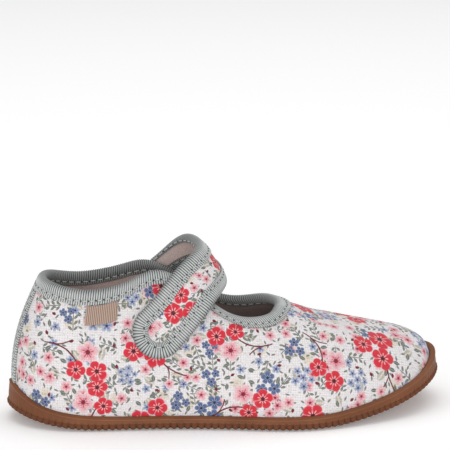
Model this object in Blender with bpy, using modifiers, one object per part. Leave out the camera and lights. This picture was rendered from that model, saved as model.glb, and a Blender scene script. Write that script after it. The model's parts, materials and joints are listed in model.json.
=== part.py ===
"""Child's barefoot slipper with an instep strap, right foot.

It stands on the floor at z = 0, with +X towards the toe and -Y on the outer side of the foot. The
last is worked out from a few driving sizes and one table of sections around the foot: each section
is a curve from the edge of the sole up to the topline. All other pieces follow that surface.
Sizes are in millimetres and become metres where the meshes are made.
"""

import bpy
import numpy as np

MM = 0.001
COLLECTION = "barefoot slipper"

# Driving sizes
SOLE_LENGTH = 175.0
BALL_WIDTH = 70.0
HEEL_HEIGHT = 56.0
TOE_SPRING = 11.6
HEEL_SPRING = 5.0

# Sole
SOLE_FLOOR = 3.6
SOLE_EDGE = 2.6
LIP_EDGE = 0.8
BAND_INSET = 0.7
BAND_TOP_INSET = 1.5
RIB_COUNT = 154
RIB_HEIGHT = 2.8
RIB_DEPTH = 1.2
RIB_SCALLOP = 1.5
RIB_CREST = 0.56
TREAD_INSET = 4.0
HEEL_FLAT_FROM = 0.19
TOE_FLAT_TO = 0.655

# Soft parts
GAP = 0.3
WALL = 1.5
INSOLE = 2.0
TAPE = 0.6
BINDING_WIDTH = 4.8
BINDING_INSIDE = 4.2
HEEL_TAPE_WIDTH = 11.0
STRAP_WIDTH = 20.6
STRAP_THICKNESS = 1.6
STRAP_CROWN = 1.4
STRAP_BINDING = 6.2
STRAP_BINDING_UNDER_REAR = 2.2
STRAP_BINDING_UNDER_FRONT = 8.8
STRAP_EDGE_ROUND = 0.3
TAB_LENGTH = 14.0
TAB_DROP = 7.7
TAB_THICKNESS = 0.8
TAB_SETBACK = 10.2

# Steps along curves that are only measured, and small steps for slopes
FINE = 201
SLOPE_STEP = 0.5
SLOPE_UP = 0.001

# Mesh density
AROUND = 72
MIDDLE_RINGS = 6
STRAP_STEPS = 25
STRAP_ACROSS = 5
END_STEPS = 7
TAPE_ACROSS = 5
TAPE_DOWN = 8

# Colours and roughness
CANVAS = ((0.86, 0.80, 0.76), 0.8)
RIBBED_TAPE = ((0.36, 0.39, 0.38), 0.7)
FOOTBED = ((0.80, 0.52, 0.50), 0.9)
GUM_RUBBER = ((0.20, 0.09, 0.05), 0.45)
WOVEN_TAB = ((0.62, 0.50, 0.38), 0.8)

# Sections of the last, from the back of the heel along the outer side to the toe and back along the
# inner side. sole and top places: x as a share of SOLE_LENGTH, y as a share of half BALL_WIDTH, top_z
# as a share of HEEL_HEIGHT. lip, rise, bulge, reach and dip are in millimetres: lip is the height of
# the sole's edge, rise and bulge steer the wall where it leaves the sole, reach and dip where it
# comes to the topline.
COLUMNS = ("sole_x", "sole_y", "top_x", "top_y", "top_z", "lip", "rise", "bulge", "reach", "dip")
SECTIONS = {
    "heel_back": (0.000, 0.000, 0.079, 0.000, 1.012, 11.2, 23, 2.0, 6.0, 13),
    "heel_corner_outer": (0.046, -0.471, 0.100, -0.290, 0.994, 7.8, 23, 2.8, 5.0, 14),
    "heel_outer": (0.143, -0.700, 0.171, -0.471, 0.960, 6.1, 23, 3.5, 3.0, 15),
    "quarter_outer": (0.251, -0.743, 0.263, -0.486, 1.012, 5.4, 23, 4.0, 4.0, 14),
    "strap_outer": (0.354, -0.771, 0.340, -0.429, 1.085, 5.3, 23, 5.0, 6.0, 10),
    "waist_outer": (0.503, -0.886, 0.460, -0.500, 0.850, 5.3, 21, 4.0, 8.0, 9),
    "ball_outer": (0.640, -1.000, 0.544, -0.543, 0.748, 5.4, 18, 3.0, 10.5, 9),
    "ball_front_outer": (0.720, -0.957, 0.589, -0.429, 0.752, 5.6, 16, 2.5, 13.0, 8),
    "little_toe": (0.800, -0.820, 0.609, -0.257, 0.778, 5.9, 16, 2.0, 20.0, 7),
    "toes_outer": (0.886, -0.614, 0.617, -0.143, 0.782, 6.4, 17, 1.5, 28.0, 10),
    "toe_front": (0.954, -0.320, 0.619, -0.057, 0.783, 7.2, 18, 1.0, 38.0, 15),
    "toe_tip": (1.000, 0.370, 0.620, 0.029, 0.783, 10.0, 19, 0.5, 45.0, 17),
    "big_toe_front": (0.972, 0.730, 0.618, 0.114, 0.783, 9.8, 19, 0.5, 41.0, 16),
    "big_toe": (0.897, 0.930, 0.611, 0.229, 0.780, 7.0, 18, 1.5, 28.0, 11),
    "ball_front_inner": (0.800, 1.000, 0.591, 0.371, 0.772, 6.0, 16, 2.5, 17.0, 6),
    "ball_inner": (0.686, 0.986, 0.548, 0.486, 0.746, 5.7, 18, 3.0, 12.0, 6),
    "waist_inner": (0.543, 0.857, 0.465, 0.471, 0.810, 5.6, 21, 3.0, 9.0, 8),
    "strap_inner": (0.389, 0.743, 0.343, 0.443, 1.025, 5.6, 23, 3.5, 6.0, 10),
    "quarter_inner": (0.263, 0.723, 0.266, 0.486, 1.000, 5.8, 23, 3.5, 4.0, 14),
    "heel_inner": (0.149, 0.700, 0.171, 0.471, 0.958, 6.4, 23, 3.5, 3.0, 15),
    "heel_corner_inner": (0.046, 0.471, 0.100, 0.290, 1.003, 7.8, 23, 2.8, 5.0, 14),
}

# Stations along the strap in side view, from its outer tip over the instep to its narrower inner tip:
# the places of its rear and front edge from the middle of the sole, x as a share of SOLE_LENGTH and z
# as a share of HEEL_HEIGHT, how far it lies off the upper in millimetres, or else, where it bridges the
# throat, its y as a share of half BALL_WIDTH.
STRAP_COLUMNS = ("rear_x", "rear_z", "front_x", "front_z", "lift", "bridge_y")
STRAP_STATIONS = {
    "outer_tip": (-0.2509, 0.695, -0.1680, 0.441, 2.2, None),
    "outer_end": (-0.2091, 0.825, -0.1263, 0.573, 2.2, None),
    "outer_quarter": (-0.1674, 0.948, -0.0817, 0.720, 3.3, None),
    "outer_rim": (-0.1303, 1.059, -0.0457, 0.832, 4.1, None),
    "outer_shoulder": (-0.0800, 1.218, -0.0200, 0.925, None, -0.329),
    "apex": (-0.0697, 1.239, -0.0091, 0.954, None, 0.000),
    "inner_shoulder": (-0.0971, 1.223, -0.0389, 0.998, None, 0.343),
    "inner_rim": (-0.1383, 1.059, -0.0851, 0.932, 4.1, None),
    "inner_quarter": (-0.1737, 0.970, -0.1251, 0.843, 3.3, None),
    "inner_end": (-0.2114, 0.857, -0.1640, 0.713, 2.2, None),
    "inner_tip": (-0.2457, 0.750, -0.1983, 0.605, 2.2, None),
}

UNITS = {"sole_x": SOLE_LENGTH, "sole_y": BALL_WIDTH / 2}
UNITS.update(top_x=SOLE_LENGTH, top_y=BALL_WIDTH / 2, top_z=HEEL_HEIGHT)
ROWS = np.array(list(SECTIONS.values()), float) * [UNITS.get(name, 1) for name in COLUMNS]


def smooth_curve(knots, values, period=None):
    """A cubic spline through values at knots, closed when it has a period, as a function of distance."""
    n = len(knots)
    closed = period is not None
    ends = np.append(knots, knots[0] + period) if closed else knots
    step = np.diff(ends)
    slope = (np.roll(values, -1, 0) - values)[: len(step)] / step[:, None]
    bend = np.eye(n)
    turn = np.zeros_like(values)
    for i in range(n) if closed else range(1, n - 1):
        bend[i] = 0
        bend[i, i - 1] = step[i - 1]
        bend[i, i] = 2 * (step[i - 1] + step[i])
        bend[i, (i + 1) % n] = step[i]
        turn[i] = 6 * (slope[i] - slope[i - 1])
    second = np.linalg.solve(bend, turn)

    def at(distance):
        distance = np.asarray(distance, float)
        distance = np.mod(distance, period) if closed else distance
        i = np.clip(np.searchsorted(knots, distance, "right") - 1, 0, len(step) - 1)
        j = (i + 1) % n
        h = step[i][..., None]
        b = (distance - knots[i])[..., None] / h
        a = 1 - b
        bowed = ((a**3 - a) * second[i] + (b**3 - b) * second[j]) * h**2 / 6
        return a * values[i] + b * values[j] + bowed

    return at


CHORDS = np.linalg.norm(np.roll(ROWS[:, :2], -1, 0) - ROWS[:, :2], axis=1)
KNOTS = np.append(0, np.cumsum(CHORDS)[:-1])
PERIMETER = CHORDS.sum()
section_at = smooth_curve(KNOTS, ROWS, PERIMETER)

PLAN = section_at(np.linspace(0, PERIMETER, 10 * FINE, endpoint=False))[:, :2]
CENTRE = (PLAN.min(0) + PLAN.max(0)) / 2


def place(name):
    """The distance around the sole at which a named section stands."""
    return KNOTS[list(SECTIONS).index(name)]


def unit(vectors):
    return vectors / np.linalg.norm(vectors, axis=-1, keepdims=True)


def spring(x):
    """Height of the sole's underside above the floor at x."""
    share = x / SOLE_LENGTH + 0.5
    heel = np.clip((HEEL_FLAT_FROM - share) / HEEL_FLAT_FROM, 0, None)
    toe = np.clip((share - TOE_FLAT_TO) / (1 - TOE_FLAT_TO), 0, None)
    return HEEL_SPRING * heel**2 + TOE_SPRING * toe**2


def outline(around, inset=0.0):
    """Points of the sole's plan outline, moved inwards by inset."""
    here = section_at(around)[..., :2] - CENTRE
    ahead = section_at(np.asarray(around) + SLOPE_STEP)[..., :2]
    behind = section_at(np.asarray(around) - SLOPE_STEP)[..., :2]
    along = unit(ahead - behind)
    outwards = np.stack([along[..., 1], -along[..., 0]], -1)
    return here - outwards * np.asarray(inset)[..., None], outwards


def upper_point(around, up):
    """Points of the upper's outer face: up runs from 0 at the sole's floor to 1 at the topline."""
    around, up = np.broadcast_arrays(np.asarray(around, float), np.asarray(up, float))
    row = dict(zip(COLUMNS, np.moveaxis(section_at(around), -1, 0)))
    foot_xy, outwards = outline(around, SOLE_EDGE + GAP)
    foot = np.concatenate([foot_xy, (spring(foot_xy[..., 0]) + SOLE_FLOOR + GAP)[..., None]], -1)
    top = np.stack([row["top_x"] - CENTRE[0], row["top_y"] - CENTRE[1], row["top_z"]], -1)
    lean = unit(foot[..., :2] - top[..., :2])
    wall = foot.copy()
    wall[..., :2] += outwards * row["bulge"][..., None]
    wall[..., 2] += row["rise"]
    crown = top.copy()
    crown[..., :2] += lean * row["reach"][..., None]
    crown[..., 2] -= row["dip"]
    u = up[..., None]
    return (1 - u) ** 3 * foot + 3 * (1 - u) ** 2 * u * wall + 3 * (1 - u) * u**2 * crown + u**3 * top


def upper_normal(around, up):
    around = np.asarray(around)
    up = np.asarray(up)
    along = upper_point(around + SLOPE_STEP, up) - upper_point(around - SLOPE_STEP, up)
    rising = upper_point(around, up + SLOPE_UP) - upper_point(around, up - SLOPE_UP)
    return unit(np.cross(along, rising))


def upper_offset(around, up, lift):
    return upper_point(around, up) + upper_normal(around, up) * np.asarray(lift)[..., None]


def up_at(around, wanted, measure):
    """The up value at which a measure that grows with up reaches the wanted value, section by section."""
    steps = np.linspace(0, 1, FINE)
    around = np.atleast_1d(np.asarray(around, float))
    wanted = np.broadcast_to(wanted, around.shape)
    points = upper_point(around[:, None], steps[None])
    grown = measure(points)
    return np.array([np.interp(w, g, steps) for w, g in zip(wanted, grown)])


def height_of(points):
    return points[..., 2]


def length_to_top(points):
    run = np.linalg.norm(np.diff(points, axis=1), axis=2)
    run = np.concatenate([np.zeros((len(run), 1)), np.cumsum(run, 1)], 1)
    return run - run[:, -1:]


def up_below_top(around, down):
    return up_at(around, -np.asarray(down, float), length_to_top)


def lip_height(around):
    lip = section_at(around)[..., COLUMNS.index("lip")]
    return lip + spring(outline(around, SOLE_EDGE)[0][..., 0])


def up_at_lip(around):
    return up_at(around, lip_height(around), height_of)


def around_samples(count):
    return np.linspace(0, PERIMETER, count, endpoint=False)


def on_quarter(x, z, side, lift):
    """The point off the upper's side wall that is seen at x and z from the side; side is -1 or 1.

    Above the topline the wall is carried on straight up.
    """
    rows = ("heel_outer", "ball_outer") if side < 0 else ("ball_inner", "heel_inner")
    around = np.linspace(place(rows[0]), place(rows[1]), FINE)
    up = up_at(around, z, height_of)
    points = upper_offset(around, up, np.full(len(around), lift))
    points[:, 2] += np.clip(z - upper_point(around, 1)[:, 2], 0, None)
    points = points if side < 0 else points[::-1]
    return np.array([np.interp(x, points[:, 0], points[:, k]) for k in range(3)])


def strap_rails():
    """Rear edge, middle line and front edge of the strap, from its outer tip over to its inner tip."""
    rails = []
    for name, values in STRAP_STATIONS.items():
        row = dict(zip(STRAP_COLUMNS, values))
        side = -1 if name.startswith("outer") else 1
        rear = np.array([row["rear_x"] * SOLE_LENGTH, row["rear_z"] * HEEL_HEIGHT])
        front = np.array([row["front_x"] * SOLE_LENGTH, row["front_z"] * HEEL_HEIGHT])
        middle = (rear + front) / 2
        if row["lift"] is None:
            crowned = middle + unit((front - rear)[::-1] * [-1, 1]) * STRAP_CROWN
            y = row["bridge_y"] * BALL_WIDTH / 2
            rails.append([np.array([x, y, z]) for x, z in (rear, crowned, front)])
        else:
            rails.append([on_quarter(x, z, side, row["lift"]) for x, z in (rear, middle, front)])
    return np.array(rails)


RAILS = strap_rails()
STRAP_KNOTS = np.append(0, np.cumsum(np.linalg.norm(np.diff(RAILS[:, 1], axis=0), axis=1)))
STRAP_LENGTH = STRAP_KNOTS[-1]
rail_at = smooth_curve(STRAP_KNOTS, RAILS.reshape(len(RAILS), 9))


def strap_point(along, across):
    """Points of the strap's middle surface: along from its outer tip, across from its middle line.

    Across is measured at the strap's full width, and shrinks with it towards the inner tip.
    """
    along, across = np.broadcast_arrays(np.asarray(along, float), np.asarray(across, float))
    rear, middle, front = np.moveaxis(rail_at(along).reshape(along.shape + (3, 3)), -2, 0)
    t = (2 * across / STRAP_WIDTH)[..., None]
    return rear * t * (t - 1) / 2 + middle * (1 - t**2) + front * t * (t + 1) / 2


def strap_offset(along, across, lift):
    forwards = strap_point(along + SLOPE_STEP, across) - strap_point(along - SLOPE_STEP, across)
    sideways = strap_point(along, across + SLOPE_STEP) - strap_point(along, across - SLOPE_STEP)
    outwards = unit(np.cross(sideways, forwards))
    return strap_point(along, across) + outwards * np.asarray(lift)[..., None]


STRAP_STRAIGHT = np.linspace(STRAP_WIDTH / 2, STRAP_LENGTH - STRAP_WIDTH / 2, STRAP_STEPS)


def strap_edge(front_inset, rear_inset):
    """Along and across places round the strap's outline with round ends, moved inwards by the insets."""
    radius = STRAP_WIDTH / 2 - (front_inset + rear_inset) / 2
    middle = (rear_inset - front_inset) / 2
    turn = np.linspace(0, np.pi, END_STEPS + 2)[1:-1]
    first, last = STRAP_STRAIGHT[0], STRAP_STRAIGHT[-1]
    bow = radius * np.sin(turn)
    along = [STRAP_STRAIGHT, last + bow, STRAP_STRAIGHT[::-1], first - bow]
    straight = np.full(len(STRAP_STRAIGHT), radius)
    across = [straight, radius * np.cos(turn), -straight, -radius * np.cos(turn)]
    return np.concatenate(along), middle + np.concatenate(across)


def make_object(name, points, faces, finish):
    colour, roughness = finish
    mesh = bpy.data.meshes.new(name)
    mesh.from_pydata((np.asarray(points) * MM).tolist(), [], faces)
    mesh.polygons.foreach_set("use_smooth", [True] * len(mesh.polygons))
    material = bpy.data.materials.new(name)
    material.use_nodes = True
    shader = material.node_tree.nodes["Principled BSDF"]
    shader.inputs["Base Color"].default_value = (*colour, 1)
    shader.inputs["Roughness"].default_value = roughness
    mesh.materials.append(material)
    part = bpy.data.objects.new(name, mesh)
    bpy.data.collections[COLLECTION].objects.link(part)
    return part


def grid_faces(rows, columns, closed):
    """Quads of a grid whose points run row by row; closed joins the last row to the first."""
    faces = []
    for i in range(rows if closed else rows - 1):
        j = (i + 1) % rows
        for k in range(columns - 1):
            faces.append((i * columns + k, j * columns + k, j * columns + k + 1, i * columns + k + 1))
    return faces


def thicken(part, thickness, offset):
    """Give an open skin its thickness: offset -1 inwards, 0 to both sides, 1 outwards."""
    skin = part.modifiers.new("thickness", "SOLIDIFY")
    skin.thickness = thickness * MM
    skin.offset = offset
    skin.use_quality_normals = True


def make_sheet(name, grid, thickness, offset, closed, finish):
    """A skin of real thickness from a grid of points."""
    rows, columns = grid.shape[:2]
    part = make_object(name, grid.reshape(-1, 3), grid_faces(rows, columns, closed), finish)
    thicken(part, thickness, offset)


def across_faces(first, count):
    """Faces that fill a closed loop of points by strips from its outer to its inner side."""
    faces = [(first, first + 1, first + count - 1)]
    for i in range(1, count // 2 - 1):
        faces.append((first + i, first + i + 1, first + count - i - 1, first + count - i))
    half = first + count // 2
    faces.append((half - 1, half, half + 1))
    return faces


def make_upper():
    around = around_samples(AROUND)
    lip = up_at_lip(around)
    under_binding = up_below_top(around, BINDING_WIDTH)
    rings = [np.zeros(AROUND)]
    for share in np.linspace(0, 1, MIDDLE_RINGS):
        rings.append(lip + (under_binding - lip) * share)
    rings += [up_below_top(around, BINDING_WIDTH / 2), np.ones(AROUND)]
    grid = np.stack([upper_point(around, up) for up in rings], 1)
    make_sheet("upper", grid, WALL, -1, True, CANVAS)


def make_collar_binding():
    """Tape folded over the topline: down the outer face, over the edge and down the inner face."""
    around = around_samples(AROUND)
    inner = -WALL - 2 * GAP
    profile = [(BINDING_WIDTH, GAP), (BINDING_WIDTH / 2, GAP), (0.0, GAP)]
    profile += [(0.0, inner), (BINDING_INSIDE / 2, inner), (BINDING_INSIDE, inner)]
    lines = []
    for down, lift in profile:
        lines.append(upper_offset(around, up_below_top(around, down), np.full(AROUND, lift)))
    top = np.ones(AROUND)
    rise = unit(upper_point(around, top) - upper_point(around, top - 0.01)) * GAP
    crest = upper_offset(around, top, np.full(AROUND, -WALL / 2)) + 2 * rise
    lines[2] = lines[2] + rise
    lines[3] = lines[3] + rise
    grid = np.stack(lines[:3] + [crest] + lines[3:], 1)
    make_sheet("collar_binding", grid, TAPE, 1, True, RIBBED_TAPE)


def make_heel_tape():
    """Tape down the back seam, from the binding to the sole's lip."""
    around = np.linspace(-HEEL_TAPE_WIDTH / 2, HEEL_TAPE_WIDTH / 2, TAPE_ACROSS)
    low = up_at(around, lip_height(around) + GAP, height_of)
    high = up_below_top(around, BINDING_WIDTH + GAP)
    lines = []
    for share in np.linspace(0, 1, TAPE_DOWN):
        lines.append(upper_offset(around, low + (high - low) * share, np.full(TAPE_ACROSS, GAP)))
    make_sheet("heel_tape", np.stack(lines, 1), TAPE, 1, False, RIBBED_TAPE)


def make_side_tab():
    """Small woven tab below the binding on the outer side."""
    middle = place("quarter_outer") - TAB_SETBACK
    around = middle + np.linspace(-TAB_LENGTH / 2, TAB_LENGTH / 2, TAPE_ACROSS)
    lines = []
    for share in (1, 0.5, 0):
        up = up_below_top(around, BINDING_WIDTH + GAP + TAB_DROP * share)
        lines.append(upper_offset(around, up, np.full(TAPE_ACROSS, GAP)))
    make_sheet("side_tab", np.stack(lines, 1), TAB_THICKNESS, 1, False, WOVEN_TAB)


def make_strap():
    edge = TAPE + 1.5 * GAP
    radius = STRAP_WIDTH / 2 - edge
    turn = np.linspace(0, np.pi / 2, END_STEPS)[1:-1]
    ends = STRAP_WIDTH / 2 - radius * np.cos(turn)
    along = np.concatenate([ends, STRAP_STRAIGHT, STRAP_LENGTH - ends[::-1]])
    straight = np.full(len(STRAP_STRAIGHT), radius)
    half = np.concatenate([radius * np.sin(turn), straight, radius * np.sin(turn[::-1])])
    across = half[:, None] * np.linspace(1, -1, STRAP_ACROSS)
    make_sheet("strap", strap_point(along[:, None], across), STRAP_THICKNESS, 0, False, CANVAS)


def make_strap_binding():
    """Tape folded over the strap's whole edge."""
    flange = STRAP_THICKNESS / 2 + GAP
    edge = TAPE - STRAP_EDGE_ROUND / 2
    turn_in = edge + STRAP_EDGE_ROUND
    front, rear = STRAP_BINDING_UNDER_FRONT, STRAP_BINDING_UNDER_REAR
    profile = [(STRAP_BINDING, STRAP_BINDING, flange), (STRAP_BINDING / 2, STRAP_BINDING / 2, flange)]
    profile += [(turn_in, turn_in, flange), (edge, edge, flange / 2)]
    profile += [(edge, edge, -flange / 2), (turn_in, turn_in, -flange)]
    profile += [((turn_in + front) / 2, (turn_in + rear) / 2, -flange), (front, rear, -flange)]
    lines = []
    for front_inset, rear_inset, lift in profile:
        along, across = strap_edge(front_inset, rear_inset)
        lines.append(strap_offset(along, across, np.full(len(along), lift)))
    make_sheet("strap_binding", np.stack(lines[::-1], 1), TAPE, 1, True, RIBBED_TAPE)


def make_insole():
    around = around_samples(AROUND)
    edge = upper_offset(around, np.zeros(AROUND), np.full(AROUND, -WALL - 2 * GAP))
    edge[:, 2] = spring(edge[:, 0]) + SOLE_FLOOR + GAP
    thicken(make_object("insole", edge, across_faces(0, AROUND), FOOTBED), INSOLE, 1)


def make_outsole():
    """Cup sole: flat tread, ribbed side, smooth sloping band, lip, and the floor of the cup."""
    ribs = around_samples(RIB_COUNT)
    pitch = PERIMETER / RIB_COUNT
    corners = np.array([-RIB_CREST / 2, RIB_CREST / 2, 0.5]) * pitch
    teeth = (ribs[:, None] + corners).ravel()
    groove = np.tile([0, 0, 1], RIB_COUNT)
    plain = np.ones(RIB_COUNT)

    def ring(around, inset, height):
        xy = outline(around, inset)[0]
        return np.column_stack([xy, spring(xy[:, 0]) + height])

    band_top = section_at(ribs)[:, COLUMNS.index("lip")] - LIP_EDGE
    inside_lip = upper_offset(ribs, up_at_lip(ribs), plain * GAP)
    inside_floor = upper_offset(ribs, plain * 0, plain * GAP)
    inside_floor[:, 2] = spring(inside_floor[:, 0]) + SOLE_FLOOR
    rings = [
        ring(ribs, plain * TREAD_INSET, 0),
        ring(teeth, RIB_DEPTH * groove, RIB_SCALLOP * groove),
        ring(ribs, plain * BAND_INSET, RIB_HEIGHT),
        ring(ribs, plain * BAND_TOP_INSET, band_top),
        inside_lip,
        inside_floor,
    ]
    starts = np.cumsum([0] + [len(loop) for loop in rings])
    tread, low, high = starts[:3]
    faces = [face[::-1] for face in across_faces(tread, RIB_COUNT)]
    for i in range(RIB_COUNT):
        j = (i + 1) % RIB_COUNT
        left, right, dip, following = low + 3 * i, low + 3 * i + 1, low + 3 * i + 2, low + 3 * j
        faces += [(tread + i, right, left), (tread + i, dip, right), (tread + i, tread + j, dip)]
        faces += [(tread + j, following, dip), (high + i, left, right), (high + i, right, dip)]
        faces += [(high + i, dip, high + j), (high + j, dip, following)]
        for lower, upper in zip(starts[2:5], starts[3:6]):
            faces.append((lower + i, lower + j, upper + j, upper + i))
    faces += across_faces(starts[5], RIB_COUNT)
    make_object("outsole", np.concatenate(rings), faces, GUM_RUBBER)


def build():
    for old in list(bpy.data.objects):
        bpy.data.objects.remove(old)
    collection = bpy.data.collections.new(COLLECTION)
    bpy.context.scene.collection.children.link(collection)
    make_outsole()
    make_insole()
    make_upper()
    make_collar_binding()
    make_heel_tape()
    make_side_tab()
    make_strap()
    make_strap_binding()


build()
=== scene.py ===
"""Looks of a child's barefoot slipper with an instep strap, right foot.

The pieces follow the same last as the solids, from the same sizes and sections. Sizes are in
millimetres and become metres where the meshes are made. Cloth pieces carry a map of their flat
cloth in millimetres, on which the print and the weave are drawn.
"""

import json

import bmesh
import bpy
import numpy as np
from mathutils import Color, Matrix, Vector

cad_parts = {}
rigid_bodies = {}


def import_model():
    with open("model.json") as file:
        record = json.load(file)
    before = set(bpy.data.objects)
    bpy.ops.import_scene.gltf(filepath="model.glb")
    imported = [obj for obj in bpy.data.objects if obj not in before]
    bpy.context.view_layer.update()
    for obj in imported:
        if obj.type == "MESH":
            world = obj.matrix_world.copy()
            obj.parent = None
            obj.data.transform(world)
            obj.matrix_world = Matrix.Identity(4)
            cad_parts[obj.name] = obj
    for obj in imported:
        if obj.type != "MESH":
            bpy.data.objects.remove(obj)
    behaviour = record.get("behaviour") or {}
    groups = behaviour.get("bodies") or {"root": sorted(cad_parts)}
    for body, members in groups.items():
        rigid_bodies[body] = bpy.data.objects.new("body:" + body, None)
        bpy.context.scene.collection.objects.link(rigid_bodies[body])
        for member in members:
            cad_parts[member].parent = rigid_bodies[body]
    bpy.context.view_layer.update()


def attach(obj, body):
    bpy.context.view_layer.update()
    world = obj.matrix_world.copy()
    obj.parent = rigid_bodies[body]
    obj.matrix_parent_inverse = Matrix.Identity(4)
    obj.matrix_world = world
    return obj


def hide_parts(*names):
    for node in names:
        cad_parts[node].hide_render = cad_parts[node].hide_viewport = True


MM = 0.001
BODY = "root"

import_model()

# Driving sizes
SOLE_LENGTH = 175.0
BALL_WIDTH = 70.0
HEEL_HEIGHT = 56.0
TOE_SPRING = 11.6
HEEL_SPRING = 5.0

# Sole
SOLE_FLOOR = 3.6
SOLE_EDGE = 2.6
BEAD_DROP = 1.4
LIP_SINK = 0.2
LIP_GAP = 0.1
RIB_COUNT = 154
RIB_DEPTH = 1.2
RIB_SCALLOP = 1.3
RIB_FULLNESS = 2.2
TREAD_INSET = 4.0
HEEL_FLAT_FROM = 0.19
TOE_FLAT_TO = 0.655
TREAD_PITCH = 5.0
TREAD_DEPTH = 0.7
TREAD_SWAY = 1.3
TREAD_SWAY_LENGTH = 13.0
TREAD_BORDER = 5.0
TREAD_FADE = 1.0
TREAD_STEEPNESS = 2.5
TREAD_LAND = 1.0

# Soft parts
GAP = 0.3
WALL = 1.5
INSOLE = 2.0
TAPE = 0.6
BINDING_WIDTH = 4.8
BINDING_INSIDE = 4.2
HEEL_TAPE_WIDTH = 11.0
STRAP_WIDTH = 20.6
STRAP_THICKNESS = 1.6
STRAP_CROWN = 1.4
STRAP_BINDING = 6.2
STRAP_BINDING_UNDER_REAR = 2.2
STRAP_BINDING_UNDER_FRONT = 8.8
STRAP_PUFF = 0.35
STRAP_PUFF_POWER = 3
TAB_LENGTH = 14.0
TAB_DROP = 7.7
TAB_THICKNESS = 0.8
TAB_SETBACK = 10.2
TAB_EDGE = 0.55
TAB_EDGE_RIBS = 2
TAB_EDGE_ROWS = 2

# Ribs of the tapes and of the tab, and the seams
TAPE_RIB = 0.95
TAPE_RIB_RISE = 0.17
TAB_RIB = 0.8
TAB_RIB_RISE = 0.05
RIB_STEPS = 6
STITCH_PITCH = 3.0
STITCH_LENGTH = 2.0
STITCH_RADIUS = 0.22
STITCH_SINK = 0.6
STITCH_INSET = 1.6
SEAM_DIP = 0.3
SEAM_WIDTH = 0.6
HOLE_RADIUS = 0.4
HOLE_RISE = 0.7

# Rings of one stitch: their places as shares of its length, and their shares of its radius
CAPSULE = ((-0.5, 0.3), (-0.4, 0.8), (-0.25, 1.0), (0.25, 1.0), (0.4, 0.8), (0.5, 0.3))
CAPSULE_SIDES = 6

# Folds of the tapes over the edges that they bind, and the shade painted on them: how dark it is, and how
# far outside the fold's middle it begins and is full
COLLAR_FOLD = 0.8
COLLAR_FOLD_RISE = 1.2
STRAP_FOLD = 1.1
TAPE_TOOTH = 0.15
FOLD_PAINTED_SHADE = 0.52
FOLD_PAINTED_SHADE_FROM = 3.9
FOLD_PAINTED_SHADE_TO = 0.9

# Steps of the meshes and of paths that are only measured, and small steps for slopes
FLANGE_STEPS = 10
FOLD_STEPS = 10
SAME_SPOT = 0.001
FINE = 401
FINE_PATH = 2001
UPPER_AROUND = 360
UPPER_RINGS = 60
SOLE_STEPS = 8
TREAD_ACROSS = 64
STRAP_ALONG = 160
STRAP_ACROSS = 16
STRAP_END_STEPS = 12
INSOLE_AROUND = 160
INSOLE_ACROSS = 24
BACK_TAPE_ACROSS = 9
BACK_SEAM_STEPS = 60
TAB_ROWS = 14
SLOPE_STEP = 0.5
SLOPE_UP = 0.001
STRAP_SLOPE_STEP = 0.2
JUST_BELOW_TOP = 0.99

# Sections of the last, from the back of the heel along the outer side to the toe and back along the
# inner side. sole and top places: x as a share of SOLE_LENGTH, y as a share of half BALL_WIDTH, top_z
# as a share of HEEL_HEIGHT. lip, rise, bulge, reach and dip are in millimetres.
COLUMNS = ("sole_x", "sole_y", "top_x", "top_y", "top_z", "lip", "rise", "bulge", "reach", "dip")
SECTIONS = {
    "heel_back": (0.000, 0.000, 0.079, 0.000, 1.012, 11.2, 23, 2.0, 6.0, 13),
    "heel_corner_outer": (0.046, -0.471, 0.100, -0.290, 0.994, 7.8, 23, 2.8, 5.0, 14),
    "heel_outer": (0.143, -0.700, 0.171, -0.471, 0.960, 6.1, 23, 3.5, 3.0, 15),
    "quarter_outer": (0.251, -0.743, 0.263, -0.486, 1.012, 5.4, 23, 4.0, 4.0, 14),
    "strap_outer": (0.354, -0.771, 0.340, -0.429, 1.085, 5.3, 23, 5.0, 6.0, 10),
    "waist_outer": (0.503, -0.886, 0.460, -0.500, 0.850, 5.3, 21, 4.0, 8.0, 9),
    "ball_outer": (0.640, -1.000, 0.544, -0.543, 0.748, 5.4, 18, 3.0, 10.5, 9),
    "ball_front_outer": (0.720, -0.957, 0.589, -0.429, 0.752, 5.6, 16, 2.5, 13.0, 8),
    "little_toe": (0.800, -0.820, 0.609, -0.257, 0.778, 5.9, 16, 2.0, 20.0, 7),
    "toes_outer": (0.886, -0.614, 0.617, -0.143, 0.782, 6.4, 17, 1.5, 28.0, 10),
    "toe_front": (0.954, -0.320, 0.619, -0.057, 0.783, 7.2, 18, 1.0, 38.0, 15),
    "toe_tip": (1.000, 0.370, 0.620, 0.029, 0.783, 10.0, 19, 0.5, 45.0, 17),
    "big_toe_front": (0.972, 0.730, 0.618, 0.114, 0.783, 9.8, 19, 0.5, 41.0, 16),
    "big_toe": (0.897, 0.930, 0.611, 0.229, 0.780, 7.0, 18, 1.5, 28.0, 11),
    "ball_front_inner": (0.800, 1.000, 0.591, 0.371, 0.772, 6.0, 16, 2.5, 17.0, 6),
    "ball_inner": (0.686, 0.986, 0.548, 0.486, 0.746, 5.7, 18, 3.0, 12.0, 6),
    "waist_inner": (0.543, 0.857, 0.465, 0.471, 0.810, 5.6, 21, 3.0, 9.0, 8),
    "strap_inner": (0.389, 0.743, 0.343, 0.443, 1.025, 5.6, 23, 3.5, 6.0, 10),
    "quarter_inner": (0.263, 0.723, 0.266, 0.486, 1.000, 5.8, 23, 3.5, 4.0, 14),
    "heel_inner": (0.149, 0.700, 0.171, 0.471, 0.958, 6.4, 23, 3.5, 3.0, 15),
    "heel_corner_inner": (0.046, 0.471, 0.100, 0.290, 1.003, 7.8, 23, 2.8, 5.0, 14),
}

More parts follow.
